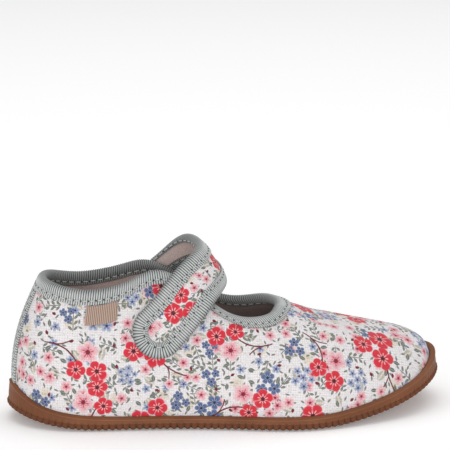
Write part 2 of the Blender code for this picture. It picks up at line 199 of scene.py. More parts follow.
# Stations along the strap in side view, from its outer tip over the instep to its narrower inner tip:
# the places of its rear and front edge from the middle of the sole, x as a share of SOLE_LENGTH and z
# as a share of HEEL_HEIGHT, how far it lies off the upper in millimetres, or else, where it bridges the
# throat, its y as a share of half BALL_WIDTH.
STRAP_COLUMNS = ("rear_x", "rear_z", "front_x", "front_z", "lift", "bridge_y")
STRAP_STATIONS = {
    "outer_tip": (-0.2509, 0.695, -0.1680, 0.441, 2.2, None),
    "outer_end": (-0.2091, 0.825, -0.1263, 0.573, 2.2, None),
    "outer_quarter": (-0.1674, 0.948, -0.0817, 0.720, 3.3, None),
    "outer_rim": (-0.1303, 1.059, -0.0457, 0.832, 4.1, None),
    "outer_shoulder": (-0.0800, 1.218, -0.0200, 0.925, None, -0.329),
    "apex": (-0.0697, 1.239, -0.0091, 0.954, None, 0.000),
    "inner_shoulder": (-0.0971, 1.223, -0.0389, 0.998, None, 0.343),
    "inner_rim": (-0.1383, 1.059, -0.0851, 0.932, 4.1, None),
    "inner_quarter": (-0.1737, 0.970, -0.1251, 0.843, 3.3, None),
    "inner_end": (-0.2114, 0.857, -0.1640, 0.713, 2.2, None),
    "inner_tip": (-0.2457, 0.750, -0.1983, 0.605, 2.2, None),
}

# Soft creases of the upper: the section and the share of its height where each begins and ends, its
# half width and its height in millimetres, below zero for a trough.
CREASE_COLUMNS = ("start", "start_up", "end", "end_up", "width", "height")
CREASES = {
    "flex_outer": ("ball_front_outer", 0.78, "ball_outer", 0.30, 3.5, -0.45),
    "flex_inner": ("ball_front_inner", 0.78, "ball_inner", 0.30, 3.5, -0.45),
    "vamp_front": ("toes_outer", 0.72, "big_toe", 0.72, 4.0, -0.30),
    "waist_outer": ("waist_outer", 0.75, "strap_outer", 0.25, 5.0, -0.40),
    "waist_inner": ("waist_inner", 0.75, "strap_inner", 0.25, 5.0, -0.40),
    "heel_outer": ("heel_outer", 0.75, "heel_outer", 0.35, 5.0, -0.35),
    "heel_inner": ("heel_inner", 0.75, "heel_inner", 0.35, 5.0, -0.35),
}

# Side of the sole from the tread to the foot of its smooth band: how far in and how high each ring
# lies on a rib's crest, and what share of the rib's depth and scallop a groove has there.
BAND_FOOT = 2.8
SOLE_SIDE_COLUMNS = ("inset", "height", "depth", "scallop")
SOLE_SIDE = {
    "tread_edge": (TREAD_INSET, 0.00, 0.0, 0.0),
    "under_rib": (2.30, 0.08, 0.3, 0.9),
    "rib_toe": (0.90, 0.32, 1.0, 0.95),
    "rib_low": (0.12, 0.70, 1.0, 0.75),
    "rib_belly": (-0.26, 1.25, 1.0, 0.45),
    "rib_high": (-0.28, 1.80, 1.0, 0.15),
    "rib_shoulder": (-0.12, 2.30, 0.9, 0.0),
    "rib_head": (0.12, 2.60, 0.65, 0.0),
    "band_foot": (0.32, BAND_FOOT, 0.4, 0.0),
}

# Rings of the sloping band: how far in each lies, how far up the band, as a share of its height, and
# what share of a rib's groove still runs up there. Rings of the bead along its top, whose lighter gum is a
# painted highlight, and of the rounded lip above it: how far in each lies, and how far below the lip's
# height.
BAND_RINGS = ((0.34, 0.1, 0.3), (0.46, 0.4, 0.16), (0.68, 0.75, 0.05), (0.82, 0.95, 0.0))
BEAD_RINGS = ((0.72, 1.3), (0.68, 1.12), (0.84, 0.95))
LIP_RINGS = ((1.25, 0.62), (1.75, 0.25), (2.2, 0.02), (2.5, 0.1))

# Colours, as red, green and blue out of 255; a flower has those of its petal, tip, seam, ray and eye
WHITE = 255
GROUND = (236, 231, 232)
GHOST = ((228, 218, 204), (232, 224, 212), (220, 208, 192), (224, 212, 198), (212, 198, 182))
RED = ((214, 34, 54), (224, 48, 66), (240, 138, 148), (248, 184, 184), (92, 22, 36))
PINK = ((236, 172, 180), (238, 210, 212), (242, 202, 206), (206, 84, 108), (136, 28, 50))
BLUE = ((76, 92, 134), (112, 128, 166), (170, 180, 204), (150, 162, 192), (38, 30, 52))
LILAC = ((150, 160, 192), (188, 196, 216), (200, 206, 222), (96, 104, 148), (54, 34, 62))
LEAF = (104, 110, 102)
LEAF_VEIN = (150, 156, 146)
FINE_LEAF = (128, 130, 124)
PALE_LEAF = (190, 186, 174)
TWIG = (112, 34, 46)
BUD = (120, 30, 48)
LINING = (228, 203, 195)
FOOTBED = (166, 124, 116)
TAPE_GREY = (196, 200, 198)
TAPE_DARK = (90, 94, 94)
THREAD = (190, 194, 190)
# Dark of the needle holes, painted shade
NEEDLE_HOLE_SHADE = (44, 46, 48)
GUM = (132, 85, 59)
# Gum of the ribs, darker as painted shade
GUM_RIB_PAINTED_SHADE = (112, 69, 46)
# Gum of the bead, lighter as a painted highlight
GUM_PAINTED_HIGHLIGHT = (150, 100, 70)
GUM_DARK = (94, 56, 36)
LABEL = (192, 166, 150)
LABEL_DARK = (100, 80, 70)
FLOOR = (250, 250, 250)

# Print on the cloth, in millimetres. Its motifs lie in scattered cells: how far apart these are, how far
# they stray from a grid, and where the grid begins. Motifs with a reach, the radius that they are drawn
# for, shrink to fit their own cell and keep clear of the sprays.
SCATTER_COLUMNS = ("spacing", "jitter", "shift", "reach")
SCATTERS = {
    "ghosts": (8.0, 0.7, (31, 7, 0), None),
    "fine_leaves": (2.4, 0.9, (5, 17, 0), None),
    "sprigs": (6.0, 0.7, (11, 3, 0), None),
    "leaves": (4.2, 0.8, (23, 41, 0), None),
    "blossoms": (6.2, 0.8, (19, 29, 0), None),
    "buds": (6.8, 0.9, (2, 23, 0), None),
    "clusters": (9.6, 0.5, (43, 12, 0), 4.4),
    "sprays": (27.0, 0.5, (7, 3, 0), None),
}
SPRAY_ROOM = 9.6
WOBBLE_SIZE = 2.2
WOBBLE = 0.4
NOISE_MIDDLE = (0.5, 0.5, 0.5)
PETALS = 5
PETAL_POWER = 0.6
RAYS_A_PETAL = 2
TWIG_END = 0.2
TWIG_EDGE = 0.07
SPRIG_LENGTH = 5.4
SPRIG_PAIRS = 1.8
SPRIG_STEM = 0.25
SPRIG_LEAF = (2.0, 0.8)
SPRIG_LEAF_OUT = 0.9
SPRIG_LEAF_TURN = -0.8

# Soft edges in flowers and leaves, from clear to full, as shares of a motif's size or of the swell from
# a petal's seam to its middle
PETAL_EDGE = (1.06, 0.92)
PETAL_TIP = (0.45, 1.0)
PETAL_SEAM = (0.35, 0.12)
PETAL_SEAM_STRENGTH = 0.8
RAY_SIDE = (0.6, 0.9)
RAY_END = (0.58, 0.4)
EYE_EDGE = (0.26, 0.18)
LEAF_EDGE = (1.1, 0.85)
VEIN_EDGE = (0.1, 0.35)

# Weave and grain of the materials: sizes in millimetres, levels of a weave or a noise from clear to full,
# and how far a tone goes towards the next
WEAVE = 0.8
WEAVE_CROSSING = (-0.2, 0.2)
WEAVE_GAPS = (0.7, 0.05)
WEAVE_GAP_TONE = 0.22
YARN_SIZE = 0.6
YARN_STRETCH = (0.3, 1.0, 1.0)
YARN_LEVELS = (0.1, 0.8)
YARN_SWAY = 0.5
YARN_SWAY_SIZE = 1.6
FLECK_SIZE = 0.7
FLECK_LEVELS = (0.56, 0.7)
FLECK_TONE = 0.4
PATCH_LEVELS = (0.3, 0.7)
LINING_WEAVE = 0.55
LINING_PATCHES = 9.0
LINING_FADED = 0.2
# Painted shade of the lining down inside the shoe: how dark, and the heights in millimetres where it begins
# and is full
LINING_PAINTED_SHADE = 0.4
LINING_PAINTED_SHADE_BELOW = (48.0, 34.0)
NAP_SIZE = 0.6
NAP_DETAIL = 6.0
NAP_SHARE = 0.7
NAP_LEVELS = (0.55, 0.35)
NAP_SHADE = 0.7
FELT_SIZE = 0.5
FELT_PATCHES = 12.0
FELT_TONE = 0.15
TAPE_THREAD = 0.3
TAPE_THREAD_SHARE = 0.3
TAPE_FUZZ = 0.4
# Levels of the painted shade in the tape's grooves
TAPE_GROOVE_SHADE_LEVELS = (0.3, -0.9)
TAPE_PATCHES = 14.0
TAPE_PATCH_LEVELS = (0.35, 0.65)
TAPE_FADED = 0.12
TAB_PICK = 0.4
TAB_PICK_SHARE = 0.4
TAB_FUZZ = 0.3
TAB_RIB_LEVELS = (0.0, -0.9)
GUM_CLOUDS = 18.0
GUM_CLOUD_TONE = 0.4
GUM_GRAIN = 0.35
GUM_GRAIN_DETAIL = 5.0
GUM_GRAIN_TONE = 0.2
GUM_SCUFFS = 1.6
GUM_SCUFF_STRETCH = (0.25, 0.25, 1.0)
GUM_ROUGHNESS = 0.38
GUM_SCUFF_ROUGHNESS = 0.25
GUM_LIGHT_REACH = 1.5
THREAD_TWIST = 0.25
HOLE_GRAIN = 0.4
HOLE_TONE = 0.3
BUMP_HEIGHT = 0.2

# Camera, as the photograph was taken
CAMERA_AZIMUTH = -7.0
CAMERA_ELEVATION = 15.0
CAMERA_DISTANCE = 1000.0
CAMERA_LENS = 200.0
CAMERA_SENSOR = 36.0
SEEN_MIDDLE = (0.0, 0.0, 33.0)
AIM_RISE = 41.6
AIM_LEFT = 0.5

# Studio: how bright the surroundings are and how much the floor glows, as shares of full white, how far
# the floor reaches in metres, and for each soft light its place, width and height in metres, and watts
SURROUNDINGS = 0.56
FLOOR_GLOW = 0.14
FLOOR_REACH = 6.0
LIGHTS = {
    "overhead": ((0.1, 0.4, 1.5), 1.6, 1.6, 11),
    "front": ((-0.3, -1.5, 0.4), 1.4, 0.5, 10),
}

UNITS = {"sole_x": SOLE_LENGTH, "sole_y": BALL_WIDTH / 2}
UNITS.update(top_x=SOLE_LENGTH, top_y=BALL_WIDTH / 2, top_z=HEEL_HEIGHT)
ROWS = np.array(list(SECTIONS.values()), float) * [UNITS.get(name, 1) for name in COLUMNS]


def smooth_curve(knots, values, period=None):
    """A cubic spline through values at knots, closed when it has a period, as a function of distance."""
    n = len(knots)
    closed = period is not None
    ends = np.append(knots, knots[0] + period) if closed else knots
    step = np.diff(ends)
    slope = (np.roll(values, -1, 0) - values)[: len(step)] / step[:, None]
    bend = np.eye(n)
    turn = np.zeros_like(values)
    for i in range(n) if closed else range(1, n - 1):
        bend[i] = 0
        bend[i, i - 1] = step[i - 1]
        bend[i, i] = 2 * (step[i - 1] + step[i])
        bend[i, (i + 1) % n] = step[i]
        turn[i] = 6 * (slope[i] - slope[i - 1])
    second = np.linalg.solve(bend, turn)

    def at(distance):
        distance = np.asarray(distance, float)
        distance = np.mod(distance, period) if closed else distance
        i = np.clip(np.searchsorted(knots, distance, "right") - 1, 0, len(step) - 1)
        j = (i + 1) % n
        h = step[i][..., None]
        b = (distance - knots[i])[..., None] / h
        a = 1 - b
        bowed = ((a**3 - a) * second[i] + (b**3 - b) * second[j]) * h**2 / 6
        return a * values[i] + b * values[j] + bowed

    return at


CHORDS = np.linalg.norm(np.roll(ROWS[:, :2], -1, 0) - ROWS[:, :2], axis=1)
KNOTS = np.append(0, np.cumsum(CHORDS)[:-1])
PERIMETER = CHORDS.sum()
section_at = smooth_curve(KNOTS, ROWS, PERIMETER)


def around_samples(count):
    """Places at equal steps around the sole, from the back of the heel."""
    return np.linspace(0, PERIMETER, count, endpoint=False)


PLAN = section_at(np.linspace(0, PERIMETER, FINE_PATH))[:, :2]
CENTRE = (PLAN.min(0) + PLAN.max(0)) / 2


def place(name):
    """The distance around the sole at which a named section stands."""
    return KNOTS[list(SECTIONS).index(name)]


def unit(vectors):
    """Vectors of the same ways and of length 1."""
    return vectors / np.linalg.norm(vectors, axis=-1, keepdims=True)


def spring(x):
    """Height of the sole's underside above the floor at x."""
    share = x / SOLE_LENGTH + 0.5
    heel = np.clip((HEEL_FLAT_FROM - share) / HEEL_FLAT_FROM, 0, None)
    toe = np.clip((share - TOE_FLAT_TO) / (1 - TOE_FLAT_TO), 0, None)
    return HEEL_SPRING * heel**2 + TOE_SPRING * toe**2


def above_sole(xy, height):
    """Points over places in plan, at a height above the sole's underside."""
    return np.concatenate([xy, (spring(xy[..., 0]) + height)[..., None]], -1)


def outline(around, inset=0.0):
    """Points of the sole's plan outline, moved inwards by inset, and the way out from it."""
    around = np.asarray(around)
    here = section_at(around)[..., :2] - CENTRE
    along = unit((section_at(around + SLOPE_STEP) - section_at(around - SLOPE_STEP))[..., :2])
    outwards = np.stack([along[..., 1], -along[..., 0]], -1)
    return here - outwards * np.asarray(inset)[..., None], outwards


def upper_point(around, up):
    """Points of the upper's outer face: up runs from 0 at the sole's floor to 1 at the topline."""
    around, up = np.broadcast_arrays(np.asarray(around, float), np.asarray(up, float))
    row = dict(zip(COLUMNS, np.moveaxis(section_at(around), -1, 0)))
    foot_xy, outwards = outline(around, SOLE_EDGE + GAP)
    foot = above_sole(foot_xy, SOLE_FLOOR + GAP)
    top = np.stack([row["top_x"] - CENTRE[0], row["top_y"] - CENTRE[1], row["top_z"]], -1)
    lean = unit(foot[..., :2] - top[..., :2])
    wall = foot.copy()
    wall[..., :2] += outwards * row["bulge"][..., None]
    wall[..., 2] += row["rise"]
    crown = top.copy()
    crown[..., :2] += lean * row["reach"][..., None]
    crown[..., 2] -= row["dip"]
    u = up[..., None]
    return (1 - u) ** 3 * foot + 3 * (1 - u) ** 2 * u * wall + 3 * (1 - u) * u**2 * crown + u**3 * top


def upper_normal(around, up):
    """The way out of the upper's outer face."""
    around, up = np.asarray(around), np.asarray(up)
    along = upper_point(around + SLOPE_STEP, up) - upper_point(around - SLOPE_STEP, up)
    rising = upper_point(around, up + SLOPE_UP) - upper_point(around, up - SLOPE_UP)
    return unit(np.cross(along, rising))


def upper_offset(around, up, lift):
    """Points that lie lift off the upper's outer face."""
    return upper_point(around, up) + upper_normal(around, up) * np.asarray(lift)[..., None]


def runs_to_top(around):
    """For each place around, the way along the section from the topline down, below zero, and its ups."""
    steps = np.linspace(0, 1, FINE)
    points = upper_point(around[:, None], steps[None])
    run = np.linalg.norm(np.diff(points, axis=1), axis=2)
    run = np.concatenate([np.zeros((len(run), 1)), np.cumsum(run, 1)], 1)
    return run - run[:, -1:], steps


def ups_below_top(around, downs):
    """The up values at one or more distances below the topline, as a row for each place around."""
    downs = np.broadcast_to(downs, (len(around), np.shape(downs)[-1]))
    runs, steps = runs_to_top(around)
    return np.array([np.interp(-down, run, steps) for down, run in zip(downs, runs)])


def ups_at_height(around, heights):
    """The up value at a height above the floor, for each place around."""
    steps = np.linspace(0, 1, FINE)
    columns = upper_point(around[:, None], steps)[..., 2]
    heights = np.broadcast_to(heights, around.shape)
    return np.array([np.interp(height, column, steps) for height, column in zip(heights, columns)])


def lip_height(around):
    """Height of the sole's lip above the floor."""
    lip = section_at(around)[..., COLUMNS.index("lip")]
    return lip + spring(outline(around, SOLE_EDGE)[0][..., 0])


def run_along(points):
    """Distance along a path of points to each of them."""
    return np.append(0, np.cumsum(np.linalg.norm(np.diff(points, axis=0), axis=1)))


def points_at(where, run, points):
    """Points between those of a path, from the distances where they lie and the path's own distances."""
    return np.stack([np.interp(where, run, column) for column in points.T], -1)


def rib_steps(run):
    """Distances along a closed path, at equal steps of which RIB_STEPS make one rib of tape."""
    return np.linspace(0, run[-1], round(run[-1] / TAPE_RIB) * RIB_STEPS, endpoint=False)


def collar_samples():
    """Places around that lie at equal steps along the middle of the collar's outer flange."""
    around = np.linspace(0, PERIMETER, FINE_PATH)
    ups = ups_below_top(around, [BINDING_WIDTH / 2])[:, 0]
    run = run_along(upper_point(around, ups))
    return np.interp(rib_steps(run), run, around)


def on_quarter(x, z, side, lift):
    """The point off the upper's side wall that is seen at x and z from the side; side is -1 or 1.

    Above the topline the wall is carried on straight up.
    """
    rows = ("heel_outer", "ball_outer") if side < 0 else ("ball_inner", "heel_inner")
    around = np.linspace(place(rows[0]), place(rows[1]), FINE)
    up = ups_at_height(around, z)
    points = upper_offset(around, up, lift)
    points[:, 2] += np.clip(z - upper_point(around, 1)[:, 2], 0, None)
    points = points if side < 0 else points[::-1]
    return points_at(x, points[:, 0], points)


def strap_rails():
    """Rear edge, middle line and front edge of the strap, from its outer tip over to its inner tip."""
    rails = []
    for name, values in STRAP_STATIONS.items():
        row = dict(zip(STRAP_COLUMNS, values))
        side = -1 if name.startswith("outer") else 1
        rear = np.array([row["rear_x"] * SOLE_LENGTH, row["rear_z"] * HEEL_HEIGHT])
        front = np.array([row["front_x"] * SOLE_LENGTH, row["front_z"] * HEEL_HEIGHT])
        middle = (rear + front) / 2
        if row["lift"] is None:
            crowned = middle + unit((front - rear)[::-1] * [-1, 1]) * STRAP_CROWN
            y = row["bridge_y"] * BALL_WIDTH / 2
            rails.append([np.array([x, y, z]) for x, z in (rear, crowned, front)])
        else:
            rails.append([on_quarter(x, z, side, row["lift"]) for x, z in (rear, middle, front)])
    return np.array(rails)


RAILS = strap_rails()
STRAP_KNOTS = run_along(RAILS[:, 1])
STRAP_LENGTH = STRAP_KNOTS[-1]
rail_at = smooth_curve(STRAP_KNOTS, RAILS.reshape(len(RAILS), -1))


def strap_point(along, across):
    """Points of the strap's middle surface: along from its outer tip, across from its middle line.

    Across is measured at the strap's full width, and shrinks with it towards the inner tip.
    """
    along, across = np.broadcast_arrays(np.asarray(along, float), np.asarray(across, float))
    rear, middle, front = np.moveaxis(rail_at(along).reshape(along.shape + (3, 3)), -2, 0)
    t = (2 * across / STRAP_WIDTH)[..., None]
    return rear * t * (t - 1) / 2 + middle * (1 - t**2) + front * t * (t + 1) / 2


def strap_offset(along, across, lift):
    """Points that lie lift off the strap's middle surface."""
    step = STRAP_SLOPE_STEP
    forwards = strap_point(along + step, across) - strap_point(along - step, across)
    sideways = strap_point(along, across + step) - strap_point(along, across - step)
    outwards = unit(np.cross(sideways, forwards))
    return strap_point(along, across) + outwards * np.asarray(lift)[..., None]


def strap_outline(count):
    """Places at equal steps round the strap's outline: the middle each is seen from, and the way out."""
    radius = STRAP_WIDTH / 2
    straight = STRAP_LENGTH - STRAP_WIDTH
    run = np.linspace(0, 2 * straight + 2 * np.pi * radius, count, endpoint=False)
    first, last = radius, STRAP_LENGTH - radius
    marks = np.cumsum([0, straight, np.pi * radius, straight, np.pi * radius])
    middle = np.interp(run, marks, [first, last, last, first, first])
    turn = np.interp(run, marks, [0, 0, np.pi, np.pi, 2 * np.pi])
    return middle, np.sin(turn), np.cos(turn)


# Meshes


def grid_faces(rows, columns, closed_rows=False, closed_columns=False):
    """Quads of a grid whose points run row by row."""
    i = np.arange(rows if closed_rows else rows - 1)
    k = np.arange(columns if closed_columns else columns - 1)
    i, k = (index.ravel() for index in np.meshgrid(i, k, indexing="ij"))
    j = (i + 1) % rows
    n = (k + 1) % columns
    return np.stack([i * columns + k, j * columns + k, j * columns + n, i * columns + n], -1)


def both_faces(shown, hidden):
    """Rows of a grid that run across one face of a cloth and back across its other face."""
    return np.concatenate([shown, hidden[:, ::-1]], 1)


def tube_faces(rows, columns, closed):
    """Faces of a grid whose rows run round, with a face over each end unless its columns run round too."""
    faces = grid_faces(rows, columns, closed, True).tolist()
    if closed:
        return faces
    last = (rows - 1) * columns
    return faces + [list(range(columns)), list(range(last, last + columns))[::-1]]


def add_object(name, data):
    """A new object in the scene."""
    thing = bpy.data.objects.new(name, data)
    bpy.context.scene.collection.objects.link(thing)
    return thing


def add_mesh(name, points, faces):
    """A new object in the scene with a mesh of its own."""
    mesh = bpy.data.meshes.new(name)
    mesh.from_pydata(np.reshape(points, (-1, 3)).tolist(), [], [list(face) for face in faces])
    return add_object(name, mesh)


def make_piece(name, points, faces, materials, node, slots=None, flat=None, laid=None):
    """A smooth mesh that stands for a node of the frame; slots give each face its material.

    flat gives points their places on the flat cloth, and laid the faces there, where these differ.
    """
    piece = add_mesh(name, points * MM, faces)
    mesh = piece.data
    mesh.polygons.foreach_set("use_smooth", np.ones(len(mesh.polygons), bool))
    for material in materials:
        mesh.materials.append(material)
    if slots is not None:
        mesh.polygons.foreach_set("material_index", np.asarray(slots, np.int32))
    if flat is not None:
        flat = np.reshape(flat, (-1, 2)).astype(np.float32)
        corners = [flat[spots] for spots in (faces if laid is None else laid)]
        mesh.uv_layers.new(name="cloth").uv.foreach_set("vector", np.concatenate(corners).ravel())
    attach(piece, BODY)
    if node:
        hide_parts(node)
    return piece


def flatten(grid):
    """Plane places in millimetres of a skin's grid of points, laid flat as its cloth would be."""
    rows, columns = grid.shape[:2]
    faces = grid_faces(rows, columns)
    cloth = add_mesh("flat_cloth", grid, faces)
    mesh = cloth.data
    mesh.uv_layers.new(name="flat")
    for other in bpy.context.view_layer.objects:
        other.select_set(other == cloth)
    bpy.context.view_layer.objects.active = cloth
    bpy.ops.object.mode_set(mode="EDIT")
    bpy.ops.mesh.select_all(action="SELECT")
    bpy.ops.uv.unwrap(method="CONFORMAL", margin=0)
    bpy.ops.object.mode_set(mode="OBJECT")
    corners = np.empty(len(mesh.loops) * 2, np.float32)
    mesh.uv_layers["flat"].uv.foreach_get("vector", corners)
    flat = np.empty((rows * columns, 2))
    flat[faces.ravel()] = corners.reshape(-1, 2)
    bpy.data.objects.remove(cloth)
    bpy.data.meshes.remove(mesh)
    flat = flat.reshape(rows, columns, 2)
    real = np.linalg.norm(np.diff(grid, axis=1), axis=2).sum()
    return flat * real / np.linalg.norm(np.diff(flat, axis=1), axis=2).sum()


def normals_of(grid, closed):
    """Unit normals of a grid of points whose rows may run round."""
    along = np.roll(grid, -1, 0) - np.roll(grid, 1, 0)
    if not closed:
        along[0] = grid[1] - grid[0]
        along[-1] = grid[-1] - grid[-2]
    return unit(np.cross(along, np.gradient(grid, axis=1)))


def make_tape(name, face, under, node, closed, outside):
    """A ribbed tape from the grid of its shown face and the grid of its hidden face, row for row.

    outside tells how far each column of the shown face lies outside the edge that the tape binds.
    """
    rows = len(face)
    ribs = np.arange(rows + closed) / RIB_STEPS
    wave = TAPE_RIB_RISE * np.cos(2 * np.pi * ribs[:rows])
    raised = face + normals_of(face, closed) * wave[:, None, None]
    grid = np.concatenate([raised, under], 1)
    columns = grid.shape[1]
    faces = tube_faces(rows, columns, closed)
    laid = grid_faces(rows + 1, columns, False, True) if closed else faces
    across = np.append(outside, np.full(under.shape[1], outside.min()))
    flat = np.stack(np.meshgrid(ribs * TAPE_RIB, across, indexing="ij"), -1)
    make_piece(name, grid, faces, [ribbed_tape()], node, flat=flat, laid=laid)


def outside_fold(lines):
    """How far points across a folded tape lie outside the middle of its fold, from the outer flange on."""
    run = run_along(lines)
    return run[FLANGE_STEPS + FOLD_STEPS // 2 - 1] - run


def make_upper():
    """The canvas shell with its lining, and its cloth laid flat."""
    around = np.linspace(0, PERIMETER, UPPER_AROUND + 1)
    runs, steps = runs_to_top(around)
    shares = np.linspace(0, 1, UPPER_RINGS)
    ups = np.array([np.interp(run[0] * (1 - shares), run, steps) for run in runs])
    outer = upper_point(around[:, None], ups)
    flat = upright(flatten(outer), around)
    normal = upper_normal(around[:, None], ups)
    outer += normal * creases(flat, around)[..., None]
    grid = both_faces(outer, outer - normal * WALL)
    flat = both_faces(flat, flat)
    rows, columns = UPPER_AROUND, 2 * UPPER_RINGS
    faces = grid_faces(rows, columns, True, True)
    laid = grid_faces(rows + 1, columns, False, True)
    slots = faces[:, 0] % columns >= UPPER_RINGS
    materials = [PRINTED_CANVAS, LINING_CLOTH]
    make_piece("upper_canvas", grid[:-1], faces, materials, "upper", slots, flat, laid)


def upright(flat, around):
    """The flat cloth turned so that its threads stand upright on the outer quarter."""
    at = np.argmin(np.abs(around - place("quarter_outer")))
    rise = flat[at, -1] - flat[at, 0]
    run = flat[at + 1, 0] - flat[at - 1, 0]
    side = np.sign(run[0] * rise[1] - run[1] * rise[0])
    rise = rise / np.linalg.norm(rise)
    return np.stack([side * (flat[..., 0] * rise[1] - flat[..., 1] * rise[0]), flat @ rise], -1)


def creases(flat, around):
    """How far the soft creases raise each point of the upper."""
    raised = np.zeros(flat.shape[:2])
    for values in CREASES.values():
        row = dict(zip(CREASE_COLUMNS, values))
        ends = []
        for end in ("start", "end"):
            i = np.argmin(np.abs(around - place(row[end])))
            ends.append(flat[i, int(row[end + "_up"] * (UPPER_RINGS - 1))])
        way = ends[1] - ends[0]
        share = np.clip((flat - ends[0]) @ way / (way @ way), 0, 1)
        off = np.linalg.norm(flat - ends[0] - share[..., None] * way, axis=-1)
        raised += row["height"] * np.exp(-((off / row["width"]) ** 2))
    return raised


# Flanges of the collar's tape: how wide each is, and how far its face lies off the upper's outer face
COLLAR_FLANGES = ((BINDING_WIDTH, GAP + TAPE), (BINDING_INSIDE, -WALL - 2 * GAP - TAPE))
COLLAR_AROUND = collar_samples()


def make_collar_tape():
    """Tape folded over the topline: down the outer face, round the edge and down the inner face."""
    around = COLLAR_AROUND
    tooth = TAPE_TOOTH * np.cos(2 * np.pi * np.arange(len(around)) / RIB_STEPS)
    flanges = []
    ends = []
    for width, lift in COLLAR_FLANGES:
        downs = np.linspace(width, COLLAR_FOLD, FLANGE_STEPS)
        ups = ups_below_top(around, downs + tooth[:, None] * (downs == width))
        flanges.append(upper_offset(around[:, None], ups, lift - np.sign(lift) * sewn_in(downs, width)))
        ends.append(ups[:, [0, -1]])
    outer, inner = (lift for _, lift in COLLAR_FLANGES)
    top = upper_point(around, 1.0)
    across = upper_normal(around, 1.0)
    rise = unit(top - upper_point(around, JUST_BELOW_TOP))
    bow = []
    for turn in np.linspace(0, np.pi, FOLD_STEPS)[1:-1]:
        lift = (outer + inner) / 2 + (outer - inner) / 2 * np.cos(turn)
        climb = (COLLAR_FOLD + COLLAR_FOLD_RISE) * np.sin(turn) - COLLAR_FOLD
        bow.append(top + across * lift + rise * climb)
    face = np.concatenate([flanges[0], np.stack(bow, 1), flanges[1][:, ::-1]], 1)
    low_inside = upper_offset(around[:, None], ends[1], inner + TAPE)
    low_outside = upper_offset(around[:, None], ends[0], GAP)
    under = both_faces(low_inside, low_outside)
    make_tape("collar_tape", face, under, "collar_binding", True, outside_fold(face[0]))


def sewn_in(insets, width):
    """How deep a seam draws in a tape's flange of that width."""
    return SEAM_DIP * np.exp(-(((insets - width + STITCH_INSET) / SEAM_WIDTH) ** 2))


def make_back_tape():
    """Tape down the back seam, from the binding to the sole's lip."""
    around = np.linspace(-HEEL_TAPE_WIDTH / 2, HEEL_TAPE_WIDTH / 2, BACK_TAPE_ACROSS)
    low = ups_at_height(around, lip_height(around) + GAP)
    high = ups_below_top(around, [BINDING_WIDTH + GAP])[:, 0]
    middle = BACK_TAPE_ACROSS // 2
    length = run_along(upper_point(0.0, np.linspace(low[middle], high[middle], FINE)))[-1]
    shares = np.linspace(0, 1, round(length / TAPE_RIB) * RIB_STEPS)
    ups = high + (low - high) * shares[:, None]
    face = upper_offset(around, ups, GAP + TAPE)
    under = upper_offset(around[[-1, 0]], ups[:, [-1, 0]], GAP / 2)
    outside = run_along(face[0]) + BINDING_WIDTH
    make_tape("back_tape", face, under, "heel_tape", False, outside)


def make_side_label():
    """Small bare woven tab, its top edge under the binding and thinner towards its other edges."""
    middle = place("quarter_outer") - TAB_SETBACK
    steps = np.arange(round(TAB_LENGTH / TAB_RIB) * RIB_STEPS + 1)
    around = middle + np.linspace(-TAB_LENGTH / 2, TAB_LENGTH / 2, len(steps))
    downs = BINDING_WIDTH + GAP + TAB_DROP * np.linspace(1, 0, TAB_ROWS)
    ups = ups_below_top(around, downs)
    from_sides = np.minimum(1, np.minimum(steps, steps[::-1]) / (TAB_EDGE_RIBS * RIB_STEPS))
    from_foot = np.minimum(1, np.arange(TAB_ROWS) / TAB_EDGE_ROWS)
    thick = TAB_EDGE + (1 - TAB_EDGE) * np.sqrt(from_sides[:, None] * from_foot)
    wave = TAB_RIB_RISE * np.cos(2 * np.pi * steps / RIB_STEPS)
    face = upper_offset(around[:, None], ups, GAP + TAB_THICKNESS * thick + wave[:, None])
    under = upper_offset(around[:, None], ups[:, [-1, 0]], GAP / 2)
    grid = np.concatenate([face, under], 1)
    faces = tube_faces(*grid.shape[:2], False)
    flat = np.stack(np.meshgrid(around, np.append(downs, downs[[-1, 0]]), indexing="ij"), -1)
    make_piece("side_label", grid, faces, [woven_label()], "side_tab", flat=flat)


def make_strap():
    """The strap's printed middle, with its lining underneath."""
    radius = STRAP_WIDTH / 2 - TAPE - GAP
    turn = np.linspace(0, np.pi / 2, STRAP_END_STEPS)[1:]
    ends = STRAP_WIDTH / 2 - radius * np.cos(turn)
    middle = np.linspace(STRAP_WIDTH / 2, STRAP_LENGTH - STRAP_WIDTH / 2, STRAP_ALONG)[1:-1]
    along = np.concatenate([ends, middle, STRAP_LENGTH - ends[::-1]])
    half = radius * np.sin(turn)
    half = np.concatenate([half, np.full(len(middle), radius), half[::-1]])
    shares = np.linspace(1, -1, STRAP_ACROSS)
    across = half[:, None] * shares
    along = np.broadcast_to(along[:, None], across.shape)
    puff = STRAP_PUFF * (1 - np.abs(shares) ** STRAP_PUFF_POWER)
    top = strap_offset(along, across, STRAP_THICKNESS / 2 + puff)
    grid = both_faces(top, strap_offset(along, across, -STRAP_THICKNESS / 2))
    rows, columns = grid.shape[:2]
    faces = tube_faces(rows, columns, False)
    # Print on the top, lining underneath, along the sides and over the two ends
    slots = [int(spots[0] % columns >= STRAP_ACROSS - 1) for spots in faces[:-2]] + [1, 1]
    flat = np.stack([along, across + STRAP_LENGTH], -1)
    flat = both_faces(flat, flat)
    materials = [PRINTED_CANVAS, LINING_CLOTH]
    make_piece("strap_canvas", grid, faces, materials, "strap", slots, flat)


def strap_edge_grid(places, profile):
    """Points along the strap's edge for each front inset, rear inset and lift of a profile."""
    middle, out_along, out_across = places
    lines = []
    for front_inset, rear_inset, lift in profile:
        reach = STRAP_WIDTH / 2 - (front_inset + rear_inset) / 2
        across = (rear_inset - front_inset) / 2 + out_across * reach
        lines.append(strap_offset(middle + out_along * reach, across, lift))
    return np.stack(lines, 1)


